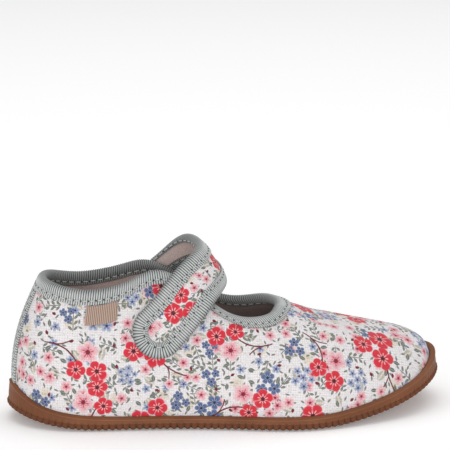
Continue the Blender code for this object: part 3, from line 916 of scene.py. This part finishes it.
def strap_samples():
    """Places round the strap's outline at equal steps along the middle of its tape."""
    places = np.stack(strap_outline(FINE_PATH))
    places = np.concatenate([places, places[:, :1]], 1)
    run = run_along(strap_edge_grid(places, [(STRAP_BINDING / 2, STRAP_BINDING / 2, 0)])[:, 0])
    return [np.interp(rib_steps(run), run, row) for row in places]


STRAP_TAPE_LIFT = STRAP_THICKNESS / 2 + GAP + TAPE
STRAP_PLACES = strap_samples()


def make_strap_tape():
    """Tape folded over the strap's whole edge."""
    high, fold = STRAP_TAPE_LIFT, STRAP_FOLD
    front, rear = STRAP_BINDING_UNDER_FRONT, STRAP_BINDING_UNDER_REAR
    insets = np.linspace(STRAP_BINDING, fold, FLANGE_STEPS)
    profile = list(zip(insets, insets, high - sewn_in(insets, STRAP_BINDING)))
    for turn in np.linspace(0, np.pi, FOLD_STEPS)[1:-1]:
        inset = fold - fold * np.sin(turn)
        profile.append((inset, inset, high * np.cos(turn)))
    for share in np.linspace(0, 1, FLANGE_STEPS):
        profile.append((fold + (front - fold) * share, fold + (rear - fold) * share, -high))
    low = STRAP_THICKNESS / 2 + GAP / 2
    hidden = [(front, rear, -low), (TAPE, TAPE, -low), (TAPE, TAPE, low)]
    hidden.append((STRAP_BINDING, STRAP_BINDING, low))
    face = strap_edge_grid(STRAP_PLACES, profile)
    under = strap_edge_grid(STRAP_PLACES, hidden)[:, ::-1]
    outside = outside_fold(face[0])[::-1]
    make_tape("strap_tape", face[:, ::-1], under, "strap_binding", True, outside)


def make_footbed():
    """The footbed that lies in the cup of the sole."""
    edge = upper_offset(around_samples(INSOLE_AROUND), 0.0, -WALL - GAP)[:, :2]
    rows, _ = across_rows(edge, INSOLE_ACROSS)
    bottom = SOLE_FLOOR + GAP
    grid = both_faces(above_sole(rows, bottom + INSOLE), above_sole(rows, bottom))
    faces = grid_faces(*grid.shape[:2], False, True)
    piece = make_piece("footbed", grid, faces, [footbed_cloth()], "insole", flat=grid[..., :2])
    close_up(piece)


def across_rows(loop, across):
    """Rows of points that fill a closed loop from its outer to its inner side, and how far in each is."""
    count = len(loop)
    outer = loop[: count // 2 + 1]
    inner = np.roll(loop[::-1], 1, 0)[: count // 2 + 1]
    shares = (1 - np.cos(np.linspace(0, np.pi, across))) / 2
    rows = outer[:, None] + (inner - outer)[:, None] * shares[None, :, None]
    width = np.linalg.norm(inner - outer, axis=-1)
    return rows, np.minimum(shares, 1 - shares) * width[:, None]


def close_up(piece):
    """Joins points that lie on one spot, and drops faces without area."""
    work = bmesh.new()
    work.from_mesh(piece.data)
    bmesh.ops.remove_doubles(work, verts=work.verts, dist=SAME_SPOT * MM)
    bmesh.ops.dissolve_degenerate(work, edges=work.edges, dist=SAME_SPOT * MM)
    work.to_mesh(piece.data)
    work.free()


def sole_side():
    """Rings of points up the sole's side, from the tread's edge over the lip and down to the cup's floor."""
    count = RIB_COUNT * SOLE_STEPS
    around = around_samples(count)
    phase = (np.arange(count) % SOLE_STEPS) / SOLE_STEPS - 0.5
    groove = 1 - np.sqrt(1 - np.abs(2 * phase) ** RIB_FULLNESS)
    lip = section_at(around)[:, COLUMNS.index("lip")]
    band = lip - BEAD_DROP - BAND_FOOT
    steps = []
    for values in SOLE_SIDE.values():
        row = dict(zip(SOLE_SIDE_COLUMNS, values))
        inset = row["inset"] + RIB_DEPTH * row["depth"] * groove
        steps.append((inset, row["height"] + RIB_SCALLOP * row["scallop"] * groove))
    for inset, share, cut in BAND_RINGS:
        steps.append((inset + RIB_DEPTH * cut * groove, BAND_FOOT + band * share))
    steps += [(inset, lip - drop) for inset, drop in BEAD_RINGS + LIP_RINGS]
    rings = [above_sole(outline(around, inset)[0], height) for inset, height in steps]
    sunk = ups_at_height(around, lip_height(around) - LIP_SINK)
    rings.append(upper_offset(around, sunk, LIP_GAP))
    rings.append(above_sole(upper_offset(around, 0.0, GAP)[:, :2], SOLE_FLOOR))
    return np.stack(rings, 1)


def make_gum_sole():
    """Cup sole: wavy tread, rounded ribs on the side with painted shade, smooth band, bead with a painted
    highlight, and rounded lip.
    """
    side = sole_side()
    tread = sole_rows(side[:, 0], TREAD_ACROSS, True)
    inside = sole_rows(side[:, -1], INSOLE_ACROSS, False)
    points = [grid.reshape(-1, 3) for grid in (side, tread, inside)]
    side_end, tread_end, _ = np.cumsum([len(spots) for spots in points])
    faces = [grid_faces(*side.shape[:2], True)]
    faces.append(grid_faces(*tread.shape[:2])[:, ::-1] + side_end)
    faces.append(grid_faces(*inside.shape[:2]) + tread_end)
    faces = np.concatenate(faces)
    ring = faces[:, 0] % side.shape[1] - len(SOLE_SIDE) - len(BAND_RINGS)
    on_side = faces[:, 0] < side_end
    # The ribs take the darker gum of painted shade
    painted_shade_ribs = on_side & (ring < -len(BAND_RINGS) - 1)
    # The bead takes the lighter gum of a painted highlight
    painted_light_mask = on_side & (ring >= 0) & (ring < len(BEAD_RINGS) - 1)
    tones = {"gum_rubber": GUM, "gum_painted_highlight": GUM_PAINTED_HIGHLIGHT, "ribbed_gum_painted_shade": GUM_RIB_PAINTED_SHADE}
    materials = [gum_rubber(name, tone) for name, tone in tones.items()]
    slots = painted_light_mask + 2 * painted_shade_ribs
    piece = make_piece("gum_sole", np.concatenate(points), faces, materials, "outsole", slots)
    close_up(piece)


def sole_rows(loop, across, patterned):
    """A face of the sole that fills a loop, with the tread's wavy grooves if it is patterned."""
    rows, inside = across_rows(loop, across)
    rows = above_sole(rows[..., :2], loop[0, 2] - spring(loop[0, 0]))
    if patterned:
        sway = TREAD_SWAY * np.sin(2 * np.pi * rows[..., 1] / TREAD_SWAY_LENGTH)
        wave = np.cos(2 * np.pi * (rows[..., 0] + sway) / TREAD_PITCH)
        cut = np.clip(wave * TREAD_STEEPNESS - TREAD_LAND, 0, 1)
        cut *= np.clip((inside - TREAD_BORDER) / TREAD_FADE, 0, 1)
        rows[..., 2] += TREAD_DEPTH * cut
    return rows


# Stitches


def along_path(points, normals, closed):
    """Evenly spaced places along a path for its stitches: middle, way along and way out of each."""
    ends = np.concatenate([points, points[:1]]) if closed else points
    outs = np.concatenate([normals, normals[:1]]) if closed else normals
    run = run_along(ends)
    count = round(run[-1] / STITCH_PITCH)
    marks = (np.arange(count) + 0.5) * run[-1] / count
    half = STITCH_LENGTH / 2
    forwards = unit(points_at(marks + half, run, ends) - points_at(marks - half, run, ends))
    return points_at(marks, run, ends), forwards, unit(points_at(marks, run, outs))


def stitch_shape():
    """One capsule of thread: its points along, across and out of the seam, and its faces."""
    points = []
    for share, thick in CAPSULE:
        for turn in np.linspace(0, 2 * np.pi, CAPSULE_SIDES, endpoint=False):
            rise = thick * (np.sin(turn) + STITCH_SINK) - STITCH_SINK
            points.append((share * STITCH_LENGTH, thick * np.cos(turn), rise))
    faces = tube_faces(len(CAPSULE), CAPSULE_SIDES, False)
    return np.array(points) * [1, STITCH_RADIUS, STITCH_RADIUS], [face[::-1] for face in faces]


def hole_shape():
    """One dark lozenge of painted shade at a needle hole: its points along, across and out of the seam, and
    its faces.
    """
    around = [(1, 0, 0), (0, 1, 0), (-1, 0, 0), (0, -1, 0)]
    points = np.array(around + [(0, 0, HOLE_RISE), (0, 0, -HOLE_RISE)]) * HOLE_RADIUS
    top = len(around)
    faces = []
    for k in range(top):
        n = (k + 1) % top
        faces += [[k, n, top], [n, k, top + 1]]
    return points, faces


def seam_paths():
    """Paths of the stitch rows on the tapes, with the way out of the cloth and whether each is closed."""
    paths = []
    for width, lift in COLLAR_FLANGES:
        ups = ups_below_top(COLLAR_AROUND, [width - STITCH_INSET])[:, 0]
        points = upper_offset(COLLAR_AROUND, ups, lift)
        paths.append((points, upper_normal(COLLAR_AROUND, ups) * np.sign(lift), True))
    shown = (STRAP_BINDING, STRAP_BINDING, STRAP_TAPE_LIFT)
    hidden = (STRAP_BINDING_UNDER_FRONT, STRAP_BINDING_UNDER_REAR, -STRAP_TAPE_LIFT)
    for front, rear, lift in (shown, hidden):
        insets = (front - STITCH_INSET, rear - STITCH_INSET)
        lines = strap_edge_grid(STRAP_PLACES, [(*insets, lift), (*insets, 0)])
        paths.append((lines[:, 0], unit(lines[:, 0] - lines[:, 1]), True))
    for side in (-1, 1):
        around = np.full(BACK_SEAM_STEPS, side * (HEEL_TAPE_WIDTH / 2 - STITCH_INSET))
        low = ups_at_height(around[:1], lip_height(around[:1]) + 2 * GAP)[0]
        high = ups_below_top(around[:1], [BINDING_WIDTH + 2 * GAP])[0, 0]
        ups = np.linspace(low, high, len(around))
        paths.append((upper_offset(around, ups, GAP + TAPE), upper_normal(around, ups), False))
    return paths


def make_stitches():
    """The stitches of all seams, and dark lozenges of painted shade at the needle holes half-way between
    them.
    """
    shapes = [(*stitch_shape(), 0.0), (*hole_shape(), STITCH_PITCH / 2)]
    points, faces, slots = [], [], []
    start = 0
    for path in seam_paths():
        middles, forwards, outs = along_path(*path)
        frames = np.stack([forwards, np.cross(outs, forwards), outs], 1)
        for slot, (shape, one, ahead) in enumerate(shapes):
            made = (middles + forwards * ahead)[:, None] + np.einsum("pk,ski->spi", shape, frames)
            for piece in made:
                faces += [[corner + start for corner in face] for face in one]
                slots += [slot] * len(one)
                start += len(piece)
            points.append(made.reshape(-1, 3))
    materials = [sewing_thread(), needle_hole()]
    make_piece("seam_stitches", np.concatenate(points), faces, materials, None, slots)


# Materials


def rgb(colour):
    """A colour out of 255 as the light that it stands for."""
    return (*Color(np.array(colour) / WHITE).from_srgb_to_scene_linear(), 1.0)


class Nodes:
    """The nodes of one material, written as expressions."""

    def __init__(self, name, settings):
        self.material = bpy.data.materials.new(name)
        self.material.use_nodes = True
        self.tree = self.material.node_tree
        self.shader = self.tree.nodes["Principled BSDF"]
        for socket, value in settings.items():
            self.shader.inputs[socket].default_value = value

    def feed(self, socket, value):
        """Links a socket to another one, or sets its value."""
        if isinstance(value, bpy.types.NodeSocket):
            self.tree.links.new(value, socket)
        else:
            socket.default_value = value

    def add(self, kind, inputs, **settings):
        """A new node with its inputs fed and its settings made."""
        node = self.tree.nodes.new("ShaderNode" + kind)
        for name, value in settings.items():
            setattr(node, name, value)
        for key, value in inputs.items():
            self.feed(node.inputs[key], value)
        return node

    def math(self, operation, *values):
        return self.add("Math", dict(enumerate(values)), operation=operation).outputs[0]

    def times(self, first, second):
        return self.math("MULTIPLY", first, second)

    def vector(self, operation, *values):
        return self.add("VectorMath", dict(enumerate(values)), operation=operation).outputs[0]

    def scaled(self, vector, factor):
        return self.add("VectorMath", {0: vector, "Scale": factor}, operation="SCALE").outputs[0]

    def length(self, vector):
        return self.add("VectorMath", {0: vector}, operation="LENGTH").outputs["Value"]

    def split(self, vector):
        return self.add("SeparateXYZ", {0: vector}).outputs[:2]

    def join(self, x, y):
        return self.add("CombineXYZ", {0: x, 1: y}).outputs[0]

    def step(self, value, low, high):
        """0 at low and beyond, 1 at high and beyond, smooth between; low may be the larger one."""
        inputs = {"Value": value, "From Min": low, "From Max": high}
        return self.add("MapRange", inputs, interpolation_type="SMOOTHSTEP").outputs[0]

    def turn(self, vector, angle):
        """A place turned round the origin of the cloth's plane."""
        inputs = {"Vector": vector, "Angle": angle}
        return self.add("VectorRotate", inputs, rotation_type="Z_AXIS").outputs[0]

    def mix(self, share, first, second):
        """A blend of two colours, each a socket or a colour out of 255."""
        first, second = (rgb(tone) if isinstance(tone, tuple) else tone for tone in (first, second))
        return self.add("Mix", {0: share, 6: first, 7: second}, data_type="RGBA").outputs[2]

    def noise(self, vector, size, detail=3.0, output="Fac"):
        """A soft noise with blotches of a size in millimetres."""
        inputs = {"Vector": vector, "Scale": 1 / size, "Detail": detail}
        return self.add("TexNoise", inputs).outputs[output]

    def cells(self, vector, spacing, jitter, feature="F1"):
        """Outputs of cells scattered over the cloth's plane."""
        inputs = {"Vector": vector, "Scale": 1 / spacing, "Randomness": jitter}
        return self.add("TexVoronoi", inputs, voronoi_dimensions="2D", feature=feature).outputs

    def cloth(self):
        """Places on the flat cloth, in millimetres."""
        return self.add("UVMap", {}, uv_map="cloth").outputs[0]

    def solid(self):
        """Places in space, in millimetres."""
        return self.scaled(self.add("TexCoord", {}).outputs["Object"], 1 / MM)

    def finish(self, colour, height, strength, roughness=None):
        """Joins the colour and the bump to the shader."""
        inputs = {"Height": height, "Strength": strength, "Distance": BUMP_HEIGHT * MM}
        bump = self.add("Bump", inputs)
        self.feed(self.shader.inputs["Base Color"], colour)
        self.feed(self.shader.inputs["Normal"], bump.outputs[0])
        if roughness is not None:
            self.feed(self.shader.inputs["Roughness"], roughness)
        return self.material


def weave(n, cloth, pitch):
    """Height of a plain weave, from 0 in its gaps to 1 on its threads, with uneven yarn."""
    sway = n.scaled(n.noise(cloth, YARN_SWAY_SIZE, output="Color"), YARN_SWAY)
    x, y = n.split(n.scaled(n.vector("ADD", cloth, sway), np.pi / pitch))
    warp = n.math("SINE", x)
    weft = n.math("SINE", y)
    over = n.step(n.times(warp, weft), *WEAVE_CROSSING)
    warp = n.times(n.math("ABSOLUTE", warp), over)
    weft = n.times(n.math("ABSOLUTE", weft), n.math("SUBTRACT", 1.0, over))
    yarn = n.noise(n.vector("MULTIPLY", cloth, YARN_STRETCH), YARN_SIZE)
    return n.times(n.math("ADD", warp, weft), n.step(yarn, *YARN_LEVELS))


def waves(n, run, pitch):
    """Even waves along a run, from -1 to 1."""
    return n.math("COSINE", n.times(run, 2 * np.pi / pitch))


def bloom(n, under, spot, shown, radius, notch, tones):
    """Paints a flower round spot's origin where shown is 1; tones are petal, tip, seam, ray and eye."""
    petal, tip, seam, ray, eye = tones
    x, y = n.split(spot)
    turn = n.times(n.math("ARCTAN2", y, x), PETALS / 2)
    lobe = n.math("ABSOLUTE", n.math("COSINE", turn))
    swell = n.math("MULTIPLY_ADD", n.math("POWER", lobe, PETAL_POWER), notch, 1 - notch)
    share = n.math("DIVIDE", n.length(spot), n.times(swell, radius))
    colour = n.mix(n.step(share, *PETAL_TIP), petal, tip)
    colour = n.mix(n.times(n.step(lobe, *PETAL_SEAM), PETAL_SEAM_STRENGTH), colour, seam)
    rays = n.step(n.math("ABSOLUTE", n.math("COSINE", n.times(turn, RAYS_A_PETAL))), *RAY_SIDE)
    colour = n.mix(n.times(rays, n.step(share, *RAY_END)), colour, ray)
    colour = n.mix(n.step(share, *EYE_EDGE), colour, eye)
    return n.mix(n.times(shown, n.step(share, *PETAL_EDGE)), under, colour)


def leaf(n, under, spot, shown, length, width, colour, vein):
    """Paints a pointed leaf with a vein, along the first axis of spot."""
    x, y = n.split(spot)
    long = n.math("POWER", n.times(x, 2 / length), 2.0)
    side = n.times(n.math("ABSOLUTE", y), 2 / width)
    tone = n.mix(n.step(side, *VEIN_EDGE), vein, colour)
    return n.mix(n.times(shown, n.step(n.math("ADD", long, side), *LEAF_EDGE)), under, tone)


def twig(n, under, spot, shown, length, width, bend, colour):
    """Paints a bowed stroke along the first axis of spot."""
    x, y = n.split(spot)
    off = n.math("ABSOLUTE", n.math("SUBTRACT", y, n.times(n.times(x, x), bend)))
    inside = n.step(off, width / 2 + TWIG_EDGE, width / 2 - TWIG_EDGE)
    reach = n.step(n.math("ABSOLUTE", x), length / 2 + TWIG_END, length / 2 - TWIG_END)
    return n.mix(n.times(n.times(inside, reach), shown), under, colour)


def sprig(n, under, spot, shown, colour, vein):
    """Paints a straight stem with pairs of small leaves."""
    under = twig(n, under, spot, shown, SPRIG_LENGTH, SPRIG_STEM, 0.0, colour)
    x, y = n.split(spot)
    along = n.math("WRAP", x, SPRIG_PAIRS / 2, -SPRIG_PAIRS / 2)
    pair = n.join(along, n.math("SUBTRACT", n.math("ABSOLUTE", y), SPRIG_LEAF_OUT))
    near = n.math("LESS_THAN", n.math("ABSOLUTE", x), SPRIG_LENGTH / 2)
    return leaf(n, under, n.turn(pair, SPRIG_LEAF_TURN), n.times(shown, near), *SPRIG_LEAF, colour, vein)


def wreath(n, under, spot, shown, count, distance, radius, growth, notch, tones, rest=()):
    """Paints count flowers round spot's origin, each larger by growth than the one before.

    With rest, all but the last of them get its notch and tones instead.
    """
    x, y = n.split(spot)
    out = n.length(spot)
    turn = n.math("ARCTAN2", y, x)
    number = n.math("ROUND", n.times(turn, count / (2 * np.pi)))
    left = n.math("SUBTRACT", turn, n.times(number, 2 * np.pi / count))
    outwards = n.math("SUBTRACT", n.times(out, n.math("COSINE", left)), distance)
    flower = n.join(outwards, n.times(out, n.math("SINE", left)))
    size = n.math("MULTIPLY_ADD", number, growth, radius)
    under = bloom(n, under, flower, shown, size, notch, tones)
    if rest:
        earlier = n.math("LESS_THAN", number, count / 2 - 1)
        under = bloom(n, under, flower, n.times(shown, earlier), size, *rest)
    return under


# The print in painting order: the cells that a motif lies in, the chances at which a cell shows it, its
# place and turn there, its painter, and the sizes and colours that the painter takes
MIDDLE = (0.0, 0.0, 0.0)
MOTIFS = (
    ("ghosts", (0.0, 0.3), MIDDLE, bloom, (2.4, 0.3, GHOST)),
    ("ghosts", (0.3, 0.9), MIDDLE, leaf, (4.6, 2.4, PALE_LEAF, GHOST[0])),
    ("fine_leaves", (0.0, 0.62), MIDDLE, leaf, (1.8, 0.65, FINE_LEAF, FINE_LEAF)),
    ("sprigs", (0.0, 0.5), MIDDLE, sprig, (LEAF, LEAF_VEIN)),
    ("leaves", (0.0, 0.36), MIDDLE, leaf, (2.6, 1.25, LEAF, LEAF_VEIN)),
    ("blossoms", (0.0, 0.42), MIDDLE, bloom, (2.1, 0.35, PINK)),
    ("blossoms", (0.42, 0.62), MIDDLE, bloom, (1.6, 0.6, LILAC)),
    ("buds", (0.0, 0.45), MIDDLE, leaf, (1.6, 1.0, BUD, BUD)),
    ("clusters", (0.0, 0.26), MIDDLE, wreath, (3, 2.5, 2.2, 0.2, 0.45, BLUE)),
    ("clusters", (0.26, 0.58), MIDDLE, wreath, (5, 3.0, 1.6, 0.1, 0.6, LILAC)),
    ("clusters", (0.26, 0.58), MIDDLE, bloom, (1.7, 0.6, LILAC)),
    ("clusters", (0.58, 0.86), MIDDLE, twig, (8.0, 0.4, -0.08, TWIG)),
    ("clusters", (0.58, 0.86), MIDDLE, wreath, (2, 2.0, 2.3, 0.5, 0.35, PINK)),
    ("sprays", (0.0, 0.6), (4.0, 0.0, 0.0), twig, (15.0, 0.5, 0.04, TWIG)),
    ("sprays", (0.0, 0.6), (7.0, -1.6, 0.8), twig, (6.0, 0.4, -0.06, TWIG)),
    ("sprays", (0.0, 0.6), (3.4, 1.8, -0.9), leaf, (2.8, 1.3, LEAF, LEAF_VEIN)),
    ("sprays", (0.0, 0.6), (9.2, -3.8, 0.0), bloom, (1.8, 0.35, PINK)),
    ("sprays", (0.0, 0.6), (-5.0, 0.0, 0.0), wreath, (3, 4.3, 3.9, 0.4, 0.28, RED)),
    ("sprays", (0.6, 1.0), (-4.0, 0.0, 0.0), twig, (14.0, 0.5, -0.05, TWIG)),
    ("sprays", (0.6, 1.0), (-6.0, 0.8, -0.8), twig, (6.0, 0.4, 0.06, TWIG)),
    ("sprays", (0.6, 1.0), (4.2, 0.0, 0.0), wreath, (3, 3.9, 3.5, 0.3, 0.35, PINK, (0.28, RED))),
)


def scatter(n, cloth, name):
    """Cells of the print: the place seen from a cell's middle and turned at random, the cell's chance,
    and, for motifs with a reach, 1 where the cell lies clear of the sprays.
    """
    row = dict(zip(SCATTER_COLUMNS, SCATTERS[name]))
    moved = n.vector("ADD", cloth, row["shift"])
    cells = n.cells(moved, row["spacing"], row["jitter"])
    chance, turn = n.add("SeparateColor", {0: cells["Color"]}).outputs[:2]
    spot = n.vector("SUBTRACT", moved, cells["Position"])
    clear = None
    if row["reach"]:
        room = n.cells(moved, row["spacing"], row["jitter"], "N_SPHERE_RADIUS")["Radius"]
        spot = n.scaled(spot, n.math("DIVIDE", row["reach"] / row["spacing"], room))
        clear = clear_of_sprays(n, n.vector("SUBTRACT", cells["Position"], row["shift"]))
    return n.turn(spot, n.times(turn, 2 * np.pi)), chance, clear


def clear_of_sprays(n, middle):
    """1 where a motif's middle lies clear of the large sprays."""
    row = dict(zip(SCATTER_COLUMNS, SCATTERS["sprays"]))
    moved = n.vector("ADD", middle, row["shift"])
    cells = n.cells(moved, row["spacing"], row["jitter"])
    away = n.length(n.vector("SUBTRACT", moved, cells["Position"]))
    return n.math("GREATER_THAN", away, SPRAY_ROOM)


def printed_canvas():
    """Off-white canvas with a small scattered flower print of a common kind."""
    n = Nodes("printed_canvas", {"Roughness": 0.85, "Sheen Weight": 0.12, "Specular IOR Level": 0.25})
    cloth = n.cloth()
    drift = n.vector("SUBTRACT", n.noise(cloth, WOBBLE_SIZE, output="Color"), NOISE_MIDDLE)
    wobbled = n.vector("ADD", cloth, n.scaled(drift, WOBBLE))
    cells = {name: scatter(n, wobbled, name) for name in SCATTERS}
    colour = GROUND
    for name, (low, high), (x, y, turn), paint, sizes in MOTIFS:
        spot, chance, clear = cells[name]
        shown = n.math("COMPARE", chance, (low + high) / 2, (high - low) / 2)
        shown = shown if clear is None else n.times(clear, shown)
        colour = paint(n, colour, n.turn(n.vector("SUBTRACT", spot, (x, y, 0)), turn), shown, *sizes)
    threads = weave(n, cloth, WEAVE)
    colour = n.mix(n.step(threads, *WEAVE_GAPS), colour, n.mix(WEAVE_GAP_TONE, colour, TAPE_DARK))
    flecks = n.step(n.noise(cloth, FLECK_SIZE), *FLECK_LEVELS)
    return n.finish(n.mix(flecks, colour, n.mix(FLECK_TONE, colour, TAPE_DARK)), threads, strength=0.7)


def lining_cloth():
    """Soft brushed pink lining, with painted shade that darkens it down inside the shoe."""
    n = Nodes("lining_cloth", {"Roughness": 0.95, "Sheen Weight": 0.3, "Sheen Roughness": 0.6})
    cloth = n.cloth()
    nap = n.noise(cloth, NAP_SIZE, NAP_DETAIL)
    height = n.math("ADD", n.times(nap, NAP_SHARE), n.times(weave(n, cloth, LINING_WEAVE), 1 - NAP_SHARE))
    faded = n.step(n.noise(cloth, LINING_PATCHES), *PATCH_LEVELS)
    colour = n.mix(faded, LINING, n.mix(LINING_FADED, LINING, GROUND))
    # Painted shade: the lining darkens towards the bottom of the inside
    height_inside = n.add("SeparateXYZ", {0: n.solid()}).outputs[2]
    painted_light_mask = n.step(height_inside, *LINING_PAINTED_SHADE_BELOW)
    colour = n.mix(painted_light_mask, colour, n.scaled(colour, LINING_PAINTED_SHADE))
    colour = n.mix(n.step(nap, *NAP_LEVELS), colour, n.scaled(colour, NAP_SHADE))
    return n.finish(colour, height, strength=0.6)


def footbed_cloth():
    """Pink felt of the footbed."""
    n = Nodes("footbed_cloth", {"Roughness": 0.95, "Sheen Weight": 0.35, "Sheen Roughness": 0.5})
    cloth = n.cloth()
    fibres = n.noise(cloth, FELT_SIZE, NAP_DETAIL)
    clean = n.step(n.noise(cloth, FELT_PATCHES), *PATCH_LEVELS)
    return n.finish(n.mix(clean, n.mix(FELT_TONE, FOOTBED, GUM_DARK), FOOTBED), fibres, strength=0.6)


def ribbed_tape():
    """Grey-green ribbed tape with fine threads along it, with painted shade in the grooves between its ribs
    and where it turns inwards.
    """
    n = Nodes("ribbed_tape", {"Roughness": 0.75, "Specular IOR Level": 0.2})
    run, outside = n.split(n.cloth())
    threads = n.times(waves(n, outside, TAPE_THREAD), TAPE_THREAD_SHARE)
    height = n.math("ADD", threads, n.noise(n.solid(), TAPE_FUZZ))
    # Painted shade in the grooves between the ribs
    colour = n.mix(n.step(waves(n, run, TAPE_RIB), *TAPE_GROOVE_SHADE_LEVELS), TAPE_GREY, TAPE_DARK)
    faded = n.step(n.noise(n.solid(), TAPE_PATCHES), *TAPE_PATCH_LEVELS)
    colour = n.mix(faded, colour, n.mix(TAPE_FADED, colour, GROUND))
    # Painted shade over the fold and the inner flange, where the tape turns inwards
    painted_shade_turned_in = n.step(outside, FOLD_PAINTED_SHADE_FROM, FOLD_PAINTED_SHADE_TO)
    return n.finish(n.mix(painted_shade_turned_in, colour, n.scaled(colour, FOLD_PAINTED_SHADE)), height, strength=0.35)


def woven_label():
    """Beige woven tab with fine ribs."""
    n = Nodes("woven_label", {"Roughness": 0.75, "Sheen Weight": 0.1, "Specular IOR Level": 0.3})
    cloth = n.cloth()
    run, drop = n.split(cloth)
    picks = n.times(waves(n, drop, TAB_PICK), TAB_PICK_SHARE)
    height = n.math("ADD", picks, n.noise(cloth, TAB_FUZZ))
    colour = n.mix(n.step(waves(n, run, TAB_RIB), *TAB_RIB_LEVELS), LABEL, LABEL_DARK)
    return n.finish(colour, height, strength=0.5)


def gum_rubber(name, tone):
    """Brown gum rubber, a little glossy, that lets some light in."""
    settings = {"Specular IOR Level": 0.12, "Subsurface Weight": 0.12}
    n = Nodes(name, {**settings, "Subsurface Scale": GUM_LIGHT_REACH * MM})
    space = n.solid()
    clouds = n.step(n.noise(space, GUM_CLOUDS), *PATCH_LEVELS)
    grain = n.noise(space, GUM_GRAIN, GUM_GRAIN_DETAIL)
    scuffs = n.noise(n.vector("MULTIPLY", space, GUM_SCUFF_STRETCH), GUM_SCUFFS)
    colour = n.mix(clouds, tone, n.mix(GUM_CLOUD_TONE, tone, GUM_DARK))
    colour = n.mix(n.times(grain, GUM_GRAIN_TONE), colour, GUM_DARK)
    roughness = n.math("MULTIPLY_ADD", scuffs, GUM_SCUFF_ROUGHNESS, GUM_ROUGHNESS)
    return n.finish(colour, grain, strength=0.12, roughness=roughness)


def sewing_thread():
    """Twisted thread of the stitches."""
    n = Nodes("sewing_thread", {"Roughness": 0.5, "Sheen Weight": 0.1})
    twist = n.noise(n.solid(), THREAD_TWIST)
    return n.finish(n.mix(twist, TAPE_GREY, THREAD), twist, strength=0.5)


def needle_hole():
    """Painted shade of the needle holes."""
    n = Nodes("needle_hole", {"Roughness": 0.9})
    shade = n.noise(n.solid(), HOLE_GRAIN)
    return n.finish(n.mix(n.times(shade, HOLE_TONE), NEEDLE_HOLE_SHADE, TAPE_DARK), shade, strength=0.2)


# Camera, lights and floor


def facing(way):
    """The turn at which a camera or a light looks along a way."""
    return Vector(way).to_track_quat("-Z", "Y").to_euler()


def make_camera():
    """A camera that looks at the part as the photograph does."""
    azimuth, elevation = np.radians([CAMERA_AZIMUTH, CAMERA_ELEVATION])
    right = np.array([np.cos(azimuth), np.sin(azimuth), 0])
    level = np.array([np.sin(azimuth), -np.cos(azimuth), 0])
    back = level * np.cos(elevation) + np.array([0, 0, np.sin(elevation)])
    eye = np.array(SEEN_MIDDLE) + back * CAMERA_DISTANCE
    aim = np.array(SEEN_MIDDLE) + np.cross(back, right) * AIM_RISE - right * AIM_LEFT
    camera = add_object("camera", bpy.data.cameras.new("camera"))
    camera.data.lens = CAMERA_LENS
    camera.data.sensor_width = CAMERA_SENSOR
    camera.location = eye * MM
    camera.rotation_euler = facing(aim - eye)
    bpy.context.scene.camera = camera


def make_light(name, place_m, width, height, power):
    """A rectangular soft light that faces the part; metres and watts."""
    light = bpy.data.lights.new(name, "AREA")
    light.shape = "RECTANGLE"
    light.size = width
    light.size_y = height
    light.energy = power
    lamp = add_object(name, light)
    lamp.location = place_m
    lamp.rotation_euler = facing(-Vector(place_m))


def make_studio():
    """Pale floor, even white surroundings and large soft lights."""
    scene = bpy.context.scene
    scene.world = bpy.data.worlds.new("studio")
    scene.world.use_nodes = True
    backdrop = scene.world.node_tree.nodes["Background"]
    backdrop.inputs["Color"].default_value = rgb(FLOOR)
    backdrop.inputs["Strength"].default_value = SURROUNDINGS
    scene.view_settings.view_transform = "Standard"
    for name, values in LIGHTS.items():
        make_light(name, *values)
    settings = {"Base Color": rgb(FLOOR), "Roughness": 0.9, "Specular IOR Level": 0.1}
    settings.update({"Emission Color": rgb(FLOOR), "Emission Strength": FLOOR_GLOW})
    reach = FLOOR_REACH
    corners = [(-reach, -reach, 0), (reach, -reach, 0), (reach, reach, 0), (-reach, reach, 0)]
    floor = add_mesh("studio_floor", corners, [(0, 1, 2, 3)])
    floor.data.materials.append(Nodes("studio_floor", settings).material)


PRINTED_CANVAS = printed_canvas()
LINING_CLOTH = lining_cloth()


def build():
    """Makes the camera, the studio and all pieces."""
    make_camera()
    make_studio()
    make_gum_sole()
    make_footbed()
    make_upper()
    make_collar_tape()
    make_back_tape()
    make_side_label()
    make_strap()
    make_strap_tape()
    make_stitches()


build()
